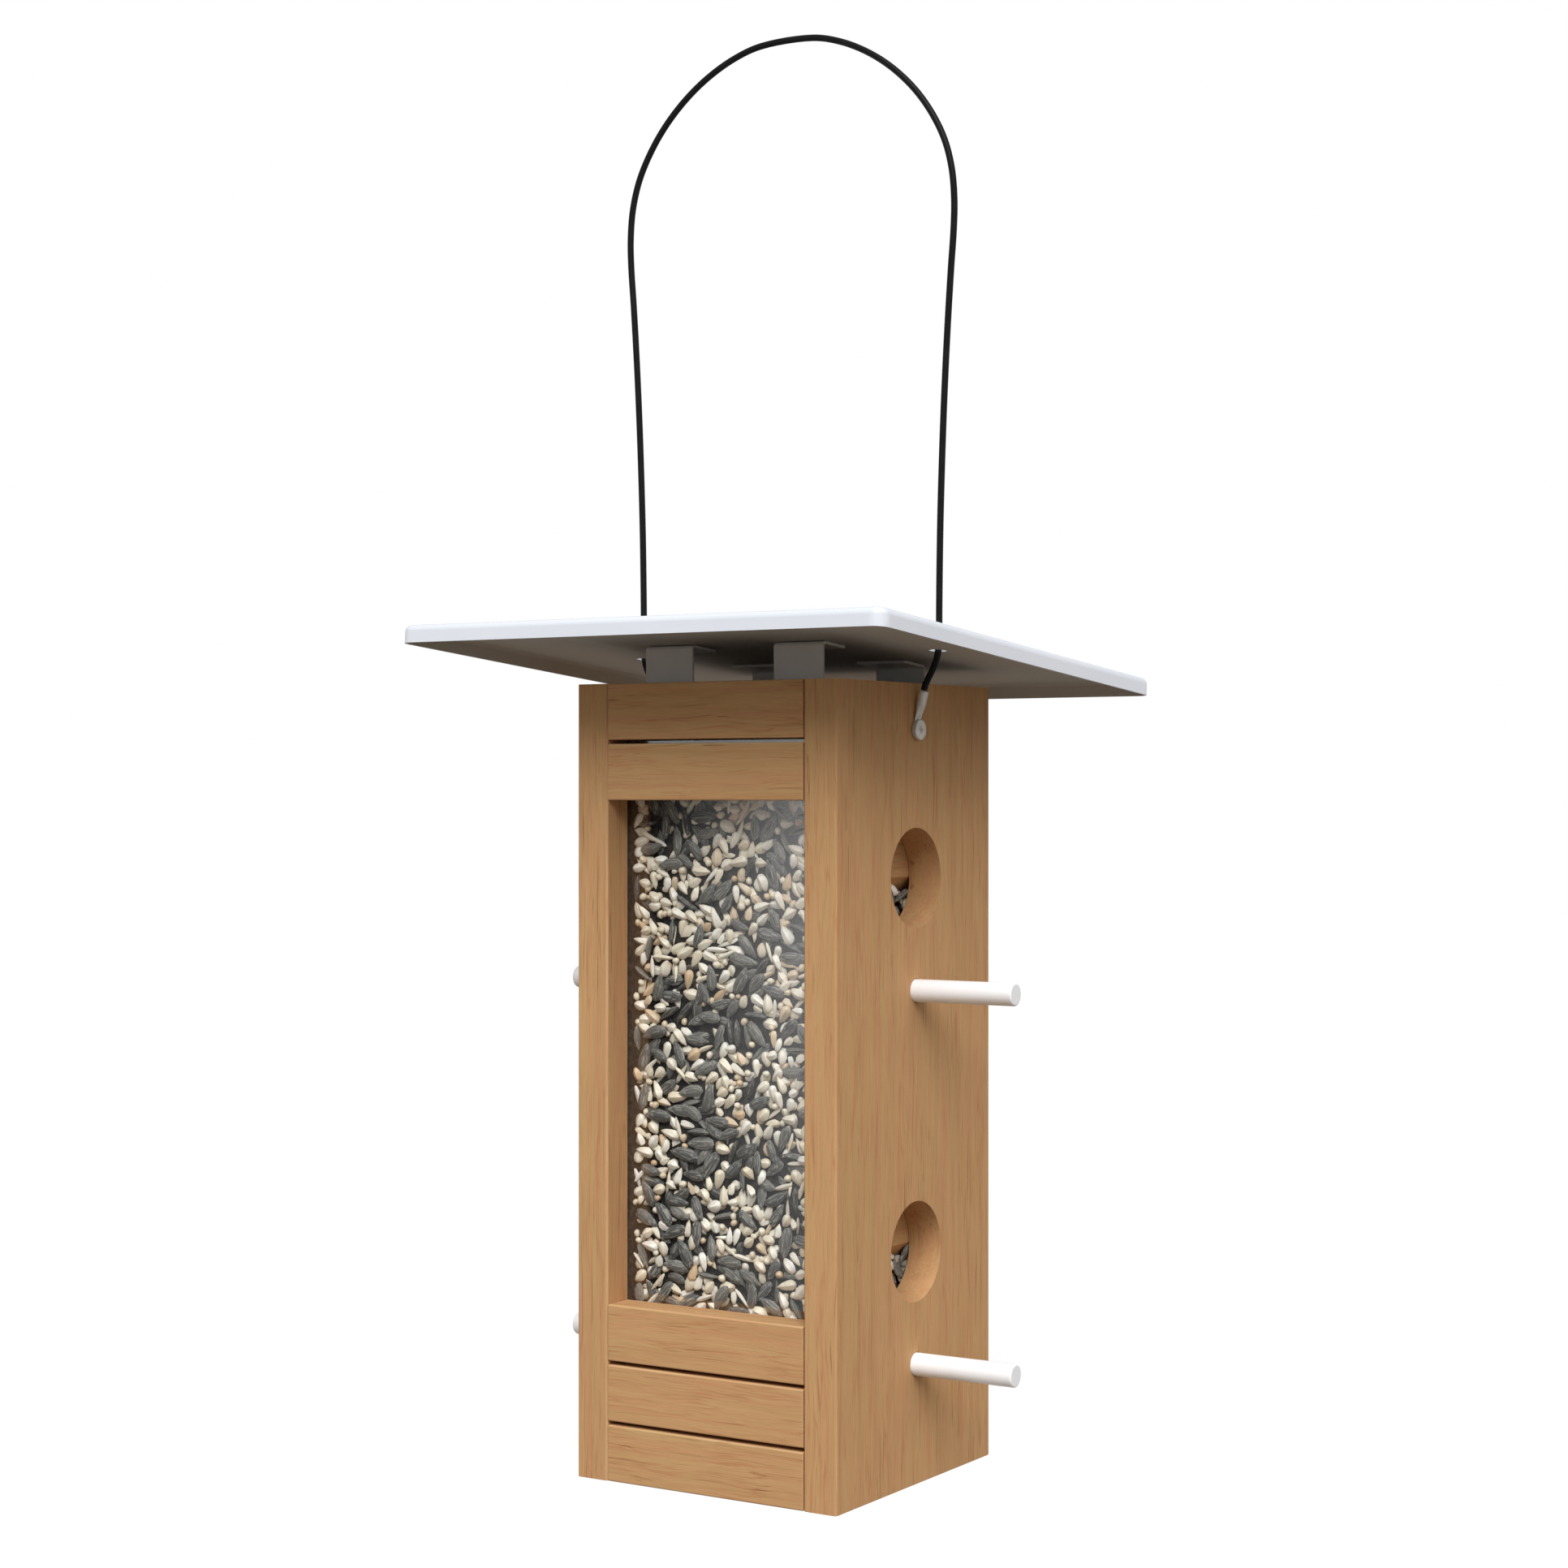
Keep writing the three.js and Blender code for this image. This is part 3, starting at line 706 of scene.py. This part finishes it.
class SeedKind:
    """One kind of seed: its size in millimetres, and a low mesh of it with x along the seed.

    The kinds share out the seed from 0 to 1, each up to its share_to. Taper narrows the front end,
    point sharpens both ends, ridge squeezes the section from round, at 2, towards a lozenge, at 1,
    and dents is how much of its girth a seed may lack here and there."""

    around, rings = 8, 6
    crease = math.radians(44)

    def __init__(
        self, name, size_mm, share_to, husk, taper, ridge, point=0.0, dents=0.14, tones=(0.0, 1.0)
    ):
        self.name, self.size_mm, self.share_to = name, size_mm, share_to
        self.husk, self.tones = husk, tones
        dice = random.Random(name)
        mesh = bpy.data.meshes.new(name)
        work = bmesh.new()
        turns = [2 * math.pi * i / self.around for i in range(self.around)]
        section = [
            (abs(math.cos(t)) ** ridge + abs(math.sin(t)) ** ridge) ** (-1 / ridge) for t in turns
        ]
        bend = dice.uniform(-0.12, 0.12)
        loops = []
        for ring in range(1, self.rings):
            x = -math.cos(math.pi * ring / self.rings)
            girth = math.sqrt(1 - x * x) ** (1 + point + taper * max(x, 0)) * (1 - taper * x)
            loop = []
            for turn, reach in zip(turns, section):
                reach *= girth * dice.uniform(1 - dents, 1) / 2
                y = reach * math.cos(turn) + bend * (1 - x * x)
                loop.append(work.verts.new((x / 2, y, reach * math.sin(turn))))
            loops.append(loop)
        tail, nose = work.verts.new((-0.5, 0, 0)), work.verts.new((0.5, 0, 0))
        for i, j in zip(range(self.around), [*range(1, self.around), 0]):
            work.faces.new((tail, loops[0][j], loops[0][i]))
            work.faces.new((nose, loops[-1][i], loops[-1][j]))
            for near, far in zip(loops, loops[1:]):
                work.faces.new((near[i], near[j], far[j], far[i]))
        bmesh.ops.recalc_face_normals(work, faces=work.faces)
        work.to_mesh(mesh)
        work.free()
        layer = mesh.attributes.new("seed_place", "FLOAT_VECTOR", "POINT")
        for point, value in zip(mesh.vertices, layer.data):
            value.vector = point.co
        mesh.transform(Matrix.Diagonal((*(value * MM for value in size_mm), 1)))
        mesh.shade_smooth()
        mesh.set_sharp_from_angle(angle=self.crease)
        self.shape = bpy.data.objects.new(name, mesh)


class Heap:
    """Seeds packed against a flat face, worked out on a grid of how deep the heap already is.

    Each seed lies where it can get nearest to the face, out of a few places, and the ones behind
    rest against those in front. Like seed keeps together in loose patches. Lengths are in
    millimetres, and depth runs away from the face."""

    cell = 0.4  # spacing of the grid
    patch = 13  # size of a patch of like seed
    patchiness = 2.2  # how much deeper a seed may lie, to be in a patch of its own kind
    growth = (0.85, 1.12)  # smallest and largest of a kind, against its usual size
    nesting = 0.6  # share of its thickness that a seed takes up
    bare = 0.3  # depth up to which the heap counts as a bare flat face
    wobble = 0.25  # a seed's own lean, either way
    following = 0.8  # how far it takes on the lean of what it lies on
    steepest = 0.6  # its greatest lean
    hiding = 2  # seeds on top of each other that hide what is behind
    least_seen = 0.15  # share of a seed that has to show, or it is left out

    def __init__(self, width, height, seed):
        self.dice = random.Random(seed)
        self.size = (width, height)
        shape = (int(height / self.cell) + 1, int(width / self.cell) + 1)
        self.depth = np.zeros(shape)
        self.cover = np.zeros(shape)
        self.laid = []
        count = [int(side / self.patch) + 2 for side in reversed(self.size)]
        self.richness = [[self.dice.random() for _ in range(count[1])] for _ in range(count[0])]

    def misfit(self, kind, x, y):
        """How ill a seed of this kind suits its patch, from 0 to 1."""
        column, right = divmod(x / self.patch, 1)
        row, up = divmod(y / self.patch, 1)
        column, row = int(column), int(row)
        (a, b), (c, d) = (line[column:column + 2] for line in self.richness[row:row + 2])
        pale = (a + (b - a) * right) * (1 - up) + (c + (d - c) * right) * up
        return pale if kind.name.startswith("dark") else 1 - pale

    def try_place(self, kind):
        """A random place on the heap, how deep a seed would lie there, and what it would fill."""
        spin = self.dice.uniform(0, 2 * math.pi)
        size = self.dice.uniform(*self.growth)
        cos, sin = math.cos(spin), math.sin(spin)
        length, width, thick = (value * size / 2 for value in kind.size_mm)
        thick *= self.nesting
        room = (math.hypot(length * cos, width * sin), math.hypot(length * sin, width * cos))
        x, y = (self.dice.uniform(edge, full - edge) for edge, full in zip(room, self.size))
        axes = []
        for place, edge, count in zip((y, x), reversed(room), self.depth.shape):
            first, last = int((place - edge) / self.cell), int((place + edge) / self.cell) + 2
            axes.append(np.arange(max(first, 0), min(last, count)))
        dy, dx = np.meshgrid(axes[0] * self.cell - y, axes[1] * self.cell - x, indexing="ij")
        along = (dx * cos + dy * sin) / length
        across = (dy * cos - dx * sin) / width
        inside = 1 - along ** 2 - across ** 2
        under = inside > 0
        half = thick * np.sqrt(np.maximum(inside, 0))
        cells = np.ix_(*axes)
        ground = self.depth[cells]
        count = under.sum()
        level = ground[under].mean()
        lean = [self.dice.uniform(-self.wobble, self.wobble) for _ in range(2)]
        if level > self.bare:
            for i, offset in enumerate((dx, dy)):
                spread = (offset * offset)[under].sum()
                tilt = ((ground - level) * offset)[under].sum()
                lean[i] += self.following * tilt / max(spread, 1)
                lean[i] = max(-self.steepest, min(self.steepest, lean[i]))
        slope = lean[0] * dx + lean[1] * dy
        centre = (ground + half - slope)[under].max()
        back = centre + slope + half
        return centre, (x, y, spin, size, *lean), cells, under, back, count

    def lay(self, kinds, tries, deepest):
        """Draws a seed and lays it in the best of a few places, unless that is too deep. One that
        is hardly seen between those in front still takes up its room."""
        def cost(option):
            centre, (x, y, *_), *_ = option
            return centre + self.patchiness * self.misfit(kind, x, y)

        draw = self.dice.random()
        kind = next(kind for kind in kinds if draw < kind.share_to)
        options = [self.try_place(kind) for _ in range(tries)]
        centre, place, cells, under, back, count = min(options, key=cost)
        tone = self.dice.uniform(*kind.tones)
        if centre > deepest:
            return
        seen = (self.cover[cells][under] < self.hiding).sum() / count
        self.depth[cells] = np.where(under, np.maximum(self.depth[cells], back), self.depth[cells])
        self.cover[cells] += under
        if seen > self.least_seen:
            self.laid.append((kind, centre, place, tone))

    def fill(self, kinds, tries, deepest, seeds):
        for _ in range(seeds):
            self.lay(kinds, tries, deepest)


def make_seed_layer():
    """A tree that puts one of a few seed shapes at each point, turned and sized as it says."""
    tree, given, out = node_group(
        "seed_layer",
        {
            "Places": ("NodeSocketGeometry", None),
            "Seed Shapes": ("NodeSocketCollection", None),
            "Husk": ("NodeSocketMaterial", None),
            "Scale": ("NodeSocketFloat", 1.0),
        },
        {"Seeds": "NodeSocketGeometry"},
        "GeometryNodeTree",
    )

    def stored(name, kind):
        made = add(tree, "GeometryNodeInputNamedAttribute", data_type=kind)
        made.inputs["Name"].default_value = name
        return next(socket for socket in made.outputs if socket.enabled)

    shapes = add(
        tree,
        "GeometryNodeCollectionInfo",
        {"Collection": given["Seed Shapes"], "Separate Children": True},
    )
    laid = add(
        tree,
        "GeometryNodeInstanceOnPoints",
        {
            "Points": given["Places"],
            "Instance": shapes.outputs[0],
            "Pick Instance": True,
            "Instance Index": stored("seed_shape", "INT"),
            "Rotation": stored("seed_turn", "FLOAT_VECTOR"),
            "Scale": math_node(tree, "MULTIPLY", stored("seed_size", "FLOAT"), given["Scale"]),
        },
    )
    real = add(tree, "GeometryNodeRealizeInstances", {"Geometry": laid.outputs[0]})
    husked = add(
        tree, "GeometryNodeSetMaterial", {"Geometry": real.outputs[0], "Material": given["Husk"]}
    )
    tree.links.new(husked.outputs[0], out["Seeds"])
    return tree


def lay_seed(name, heap, sacks, tree, corner, across, up, keep=None):
    """Turns a heap into one mesh for each sack of seed. Across and up run along the heap's face,
    and keep says which places stay."""
    into = up.cross(across)
    to_row = Matrix((across, up, into)).transposed()
    for sack, kinds in sacks.items():
        places = []
        rows = {
            ("seed_shape", "INT", "value"): [],
            ("seed_turn", "FLOAT_VECTOR", "vector"): [],
            ("seed_size", "FLOAT", "value"): [],
            ("seed_tone", "FLOAT", "value"): [],
        }
        for kind, depth, (x, y, spin, size, lean_x, lean_y), tone in heap.laid:
            place = corner + to_row @ Vector((x, y, depth)) * MM
            if kind not in kinds or (keep and not keep(place)):
                continue
            cos, sin = math.cos(spin), math.sin(spin)
            along = to_row @ Vector((cos, sin, lean_x * cos + lean_y * sin)).normalized()
            flat = to_row @ Vector((-lean_x, -lean_y, 1)).normalized()
            turn = Matrix((along, flat.cross(along), flat)).transposed().to_euler()
            places.append(place)
            for row, value in zip(rows.values(), (kinds.index(kind), turn, size, tone)):
                row.append(value)
        mesh = bpy.data.meshes.new(f"{name}_{sack.name}_places")
        mesh.from_pydata(places, [], [])
        for (label, sort, part), values in rows.items():
            layer = mesh.attributes.new(label, sort, "POINT")
            for item, value in zip(layer.data, values):
                setattr(item, part, value)
        base = link(bpy.data.objects.new(mesh.name, mesh))
        stack = base.modifiers.new("seeds", "NODES")
        stack.node_group = tree
        sockets = {s.name: s.identifier for s in tree.interface.items_tree if s.in_out == "INPUT"}
        stack[sockets["Seed Shapes"]] = sack
        stack[sockets["Husk"]] = kinds[0].husk
        stack[sockets["Scale"]] = SEED_SCALE
        made = baked(base, f"{name}_{sack.name}")
        for label in ("seed_shape", "seed_turn", "seed_size"):
            if label in made.data.attributes:
                made.data.attributes.remove(made.data.attributes[label])
        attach(made, "tower")


def packed_slab(name, face, back, material):
    """A thin closed slab with a lumpy face, for packed seed and strips that are painted dark as
    shade. Face and back are opposite corners, and the thinnest way between them is the way the
    face looks."""
    step_size, lump_size = 2.2 * MM, 2.4 * MM
    hollow, lumpiness, deepest = 0.35, 0.6, 0.8
    spans = sorted(range(3), key=lambda axis: -abs(back[axis] - face[axis]))
    thin = spans.pop()
    counts = [math.ceil(abs(back[axis] - face[axis]) / step_size) for axis in spans]
    work = bmesh.new()

    def point(i, j, at_face):
        place = Vector(back)
        for axis, step, count in zip(spans, (i, j), counts):
            place[axis] = face[axis] + (back[axis] - face[axis]) * step / count
        if at_face:
            depth = hollow + lumpiness * lumps.noise(place / lump_size)
            depth = max(0.0, min(deepest, depth))
            place[thin] = face[thin] + (back[thin] - face[thin]) * depth
        return work.verts.new(place)

    rows = [
        [[point(i, j, at_face) for j in range(counts[1] + 1)] for i in range(counts[0] + 1)]
        for at_face in (True, False)
    ]
    for i in range(counts[0]):
        for j in range(counts[1]):
            for grid in rows:
                work.faces.new((grid[i][j], grid[i + 1][j], grid[i + 1][j + 1], grid[i][j + 1]))
    near, far = rows
    for i, j in zip(range(counts[0]), range(1, counts[0] + 1)):
        for k in (0, -1):
            work.faces.new((near[i][k], near[j][k], far[j][k], far[i][k]))
    for i, j in zip(range(counts[1]), range(1, counts[1] + 1)):
        for k in (0, -1):
            work.faces.new((near[k][i], near[k][j], far[k][j], far[k][i]))
    bmesh.ops.recalc_face_normals(work, faces=work.faces)
    mesh = bpy.data.meshes.new(name)
    work.to_mesh(mesh)
    work.free()
    mesh.shade_smooth()
    mesh.set_sharp_from_angle(angle=math.radians(60))
    mesh.materials.append(material)
    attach(link(bpy.data.objects.new(name, mesh)), "tower")


def make_sacks(pale, dark):
    """All kinds of seed, and a sack of them for each husk, as {collection: its kinds}."""
    flat = {"taper": 0.28, "ridge": 1.4, "point": 0.2}
    kinds = (
        SeedKind("pale_1_pointed", (8.8, 4.5, 3.5), 0.23, pale, taper=0.42, ridge=1.3),
        SeedKind("pale_2_plump", (7.4, 5, 3.8), 0.41, pale, taper=0.18, ridge=1.5),
        SeedKind("pale_3_chipped", (6.2, 4.5, 3.2), 0.49, pale, taper=0.55, ridge=1.2, dents=0.28),
        SeedKind("pale_4_sliver", (10.5, 2.3, 1.7), 0.54, pale, taper=0.25, ridge=1.4, point=0.2),
        SeedKind("pale_5_millet", (3.5, 3.2, 3), 0.6, pale, taper=0, ridge=2, tones=(0.6, 1)),
        SeedKind("dark_1_flat", (12.8, 6, 3), 0.9, dark, **flat),
        SeedKind("dark_2_on_edge", (12.4, 3.1, 5.2), 1, dark, **flat),
    )
    sacks = {}
    for sack_name in ("pale", "dark"):
        sack = bpy.data.collections.new(sack_name)
        sacks[sack] = [kind for kind in kinds if kind.name.startswith(sack_name)]
        for kind in sacks[sack]:
            sack.objects.link(kind.shape)
    return kinds, sacks


def make_seed(materials):
    """Loose seed at the windows, on top and in the ports. Behind it are packed seed and side
    strips, painted dark as shade.
    """
    kinds, sacks = make_sacks(materials["pale_seed"], materials["dark_seed"])
    tree = make_seed_layer()
    ends, sides = (("front", -1), ("back", 1)), (("left", -1), ("right", 1))
    right, rear, up = Vector((1, 0, 0)), Vector((0, 1, 0)), Vector((0, 0, 1))
    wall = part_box("side_panel_right")[0].x
    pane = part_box("back_window")[0].y
    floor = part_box("floor_panel")[1].z
    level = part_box("front_top_slat_2")[1].z - SEED_BELOW_SLAT
    side_gap, pane_gap, port_gap, sunk = 0.9 * MM, 0.2 * MM, 0.4 * MM, 1.5 * MM
    heap_depth = 4 * MM

    # The two window faces, with a thin bed of packed seed in front of the ends of the hoods,
    # painted dark as shade, and with strips of painted shade at the sides.
    width, height = 2 * (wall - side_gap), level - floor
    bottom, top = floor + 0.3 * MM, level - 3 * MM
    for seed, (end_name, end) in enumerate(ends, 41):
        heap = Heap(width / MM, height / MM, seed)
        heap.fill(kinds, tries=9, deepest=2.2, seeds=1800)
        heap.fill(kinds, tries=6, deepest=3.6, seeds=2200)
        corner = Vector((end * (wall - side_gap), end * (pane - pane_gap), floor - sunk))
        lay_seed(f"{end_name}_seed", heap, sacks, tree, corner, right * -end, up)
        face, back = (
            (side * (wall - side_gap), end * (pane - inward * MM), place_z)
            for side, inward, place_z in zip((-1, 1), SEED_BED_MM, (bottom, top))
        )
        packed_slab(f"{end_name}_seed_bed", face, back, materials["seed_bed"])
        # Thin dark strips of painted shade over the inner faces of the side panels and in the
        # grooves beside the pane.
        for side_name, side in sides:
            for strip, corners in SIDE_SHADE_MM.items():
                face, back = (
                    (side * (wall + outward * MM), end * (pane - inward * MM), place_z)
                    for (outward, inward), place_z in zip(corners, (bottom, top))
                )
                packed_slab(f"{end_name}_{side_name}_{strip}", face, back, materials["seed_bed"])

    # The top of the seed, between the two window heaps.
    reach = pane - heap_depth
    corner = Vector((-wall + side_gap, -reach, level))
    heap = Heap(width / MM, 2 * reach / MM, seed=31)
    heap.fill(kinds, tries=4, deepest=6, seeds=1300)
    lay_seed("top_seed", heap, sacks, tree, corner, right, rear)

    # In each port the seed slopes up along the tower until it meets the underside of the hood. One
    # heap faces out of the port and one faces up. Start and drop are how far before and below the
    # port's middle the slope begins.
    start, drop, slope, hood_gap = 27 * MM, 29 * MM, 0.6, 1.5 * MM
    for level_name in ("lower", "upper"):
        perch = sum(corner.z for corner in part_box(f"perch_{level_name}_right")) / 2
        port = perch + PORT_ABOVE_PERCH
        for side_name, side in sides:
            outward, along = right * side, rear * side
            seed = 41 + 4 * (level_name == "upper") + side

            def under_hood(place):
                return place.z < port - (wall - abs(place.x)) - hood_gap

            def under_slope(place):
                surface = port - drop + slope * (side * place.y + start)
                return under_hood(place) and place.z < surface

            corner = outward * (wall - port_gap) - along * start + up * (port - drop)
            heap = Heap(width=56, height=36, seed=seed)
            heap.fill(kinds, tries=6, deepest=4.5, seeds=360)
            name = f"{level_name}_{side_name}_port_seed"
            lay_seed(name, heap, sacks, tree, corner, along, up, under_slope)
            heap = Heap(width=64, height=22, seed=seed + 20)
            heap.fill(kinds, tries=4, deepest=5, seeds=300)
            corner -= outward * heap_depth
            rise = (along + up * slope).normalized()
            name = f"{level_name}_{side_name}_slope_seed"
            lay_seed(name, heap, sacks, tree, corner, rise, -outward, under_hood)

    for sack in sacks:
        for kind in sacks[sack]:
            bpy.data.objects.remove(kind.shape)
        bpy.data.collections.remove(sack)


# ---- Studio ----------------

def make_lamp(name, azimuth, elevation, spread, level):
    """A far soft lamp. Azimuth turns from the front towards the right-hand side, in degrees, and
    level 1 lights a white surface that faces it to full white."""
    light = bpy.data.lights.new(name, "SUN")
    light.energy = math.pi * level
    light.angle = math.radians(spread)
    lamp = link(bpy.data.objects.new(name, light))
    lamp.rotation_euler = (math.radians(90 - elevation), 0, math.radians(azimuth))
    return lamp


def seen_by_eye(tree):
    """1 where the camera looks, also in a reflection or through a window, and 0 as light."""
    rays = tree.nodes.new("ShaderNodeLightPath").outputs
    direct = math_node(tree, "MAXIMUM", rays["Is Camera Ray"], rays["Is Glossy Ray"])
    return math_node(tree, "MAXIMUM", direct, rays["Is Transmission Ray"])


def make_world():
    """White to look at, and greyer overhead in a reflection, so that the roof keeps its tone. As
    light it is a dome that is brightest halfway up."""
    world = bpy.data.worlds.new("surroundings")
    scene.world = world
    world.use_nodes = True
    tree = world.node_tree
    tree.nodes.clear()
    place = tree.nodes.new("ShaderNodeTexCoord").outputs["Generated"]
    up = separate(tree, place)["Z"]
    dome = remap(tree, up, 0.0, 0.6, 0.4, 0.66)
    dome = math_node(tree, "MULTIPLY", dome, remap(tree, up, 0.5, 0.9, 1.0, 0.1))
    overhead = remap(tree, up, 0.08, 0.3, 1.0, 0.55)
    mirrored = tree.nodes.new("ShaderNodeLightPath").outputs["Is Glossy Ray"]
    strength = mix_value(tree, seen_by_eye(tree), dome, 1.0)
    strength = mix_value(tree, mirrored, strength, overhead)
    light = add(tree, "ShaderNodeBackground", {"Color": (1, 1, 1, 1), "Strength": strength})
    set_surface(tree, light, "ShaderNodeOutputWorld")


def make_floor():
    """White to look at, with a faint shadow. As light it is a warm matt floor with a soft glow."""
    made, tree = new_material("studio_floor")

    def glowing(tint, shade, strength):
        matt = add(tree, "ShaderNodeBsdfDiffuse", {"Color": (*(shade * part for part in tint), 1)})
        glow = add(tree, "ShaderNodeEmission", {"Color": (*tint, 1), "Strength": strength})
        return add(tree, "ShaderNodeAddShader", {0: matt.outputs[0], 1: glow.outputs[0]})

    as_light = glowing((1, 0.86, 0.70), shade=0.08, strength=0.145)
    as_seen = glowing((1, 1, 1), shade=0.12, strength=0.90)
    set_surface(tree, mix_shader(tree, seen_by_eye(tree), as_light, as_seen))
    made.cycles.emission_sampling = "NONE"
    half = 6
    corners = [(-half, -half, 0), (half, -half, 0), (half, half, 0), (-half, half, 0)]
    mesh = bpy.data.meshes.new("floor")
    mesh.from_pydata(corners, [], [range(4)])
    mesh.materials.append(made)
    floor = link(bpy.data.objects.new("floor", mesh))
    floor.location.z = cad_bounds[0][2] - 0.05 * MM


def make_flags():
    """Two dark cards, one in front of each window and bent to run back along the floor, that only
    the windows' reflections meet. Each has a soft clear strip left of its middle, where the white
    room is reflected, and lets a little of it through to the right of that."""
    made, tree = new_material("flag_card")
    place = tree.nodes.new("ShaderNodeTexCoord").outputs["Object"]
    x, _, z = separate(tree, place)
    clear = math_node(tree, "POWER", remap(tree, x, -0.285, -0.172), 1.7)
    clear = math_node(tree, "MULTIPLY", clear, remap(tree, x, -0.165, -0.08, 1.0, 0.3))
    clear = math_node(tree, "MULTIPLY", clear, remap(tree, z, 0.06, 0.25, 0.35, 1.0))
    black = add(tree, "ShaderNodeBsdfDiffuse", {"Color": (0.0, 0.0, 0.0, 1)})
    open_air = tree.nodes.new("ShaderNodeBsdfTransparent")
    set_surface(tree, mix_shader(tree, clear, black, open_air))
    half_width = 0.7
    bends = [(-0.40, 0.335), (-0.40, 0.004), (-0.075, 0.004)]
    for name, turn in (("front_flag", 0), ("back_flag", math.pi)):
        mesh = bpy.data.meshes.new(name)
        corners = [(x, y, z) for y, z in bends for x in (-half_width, half_width)]
        mesh.from_pydata(corners, [], [(0, 2, 3, 1), (2, 4, 5, 3)])
        mesh.materials.append(made)
        flag = link(bpy.data.objects.new(name, mesh))
        flag.rotation_euler.z = turn
        for ray in ("camera", "diffuse", "shadow", "volume_scatter"):
            setattr(flag, "visible_" + ray, False)


def make_studio():
    scene.view_settings.view_transform = "Standard"
    make_world()
    make_floor()
    make_flags()
    make_lamp("key", azimuth=28, elevation=46.5, spread=40, level=0.935)
    make_lamp("side_fill", azimuth=85, elevation=44, spread=50, level=0.185)
    back_fill = make_lamp("back_fill", azimuth=205, elevation=14, spread=50, level=0.28)
    back_fill.visible_glossy = False


make_camera()
MATERIALS = make_materials()
make_cable(MATERIALS)
make_boards(MATERIALS)
make_windows(MATERIALS)
make_perches(MATERIALS)
make_fittings(MATERIALS)
make_roof(MATERIALS)
make_seed(MATERIALS)
make_studio()
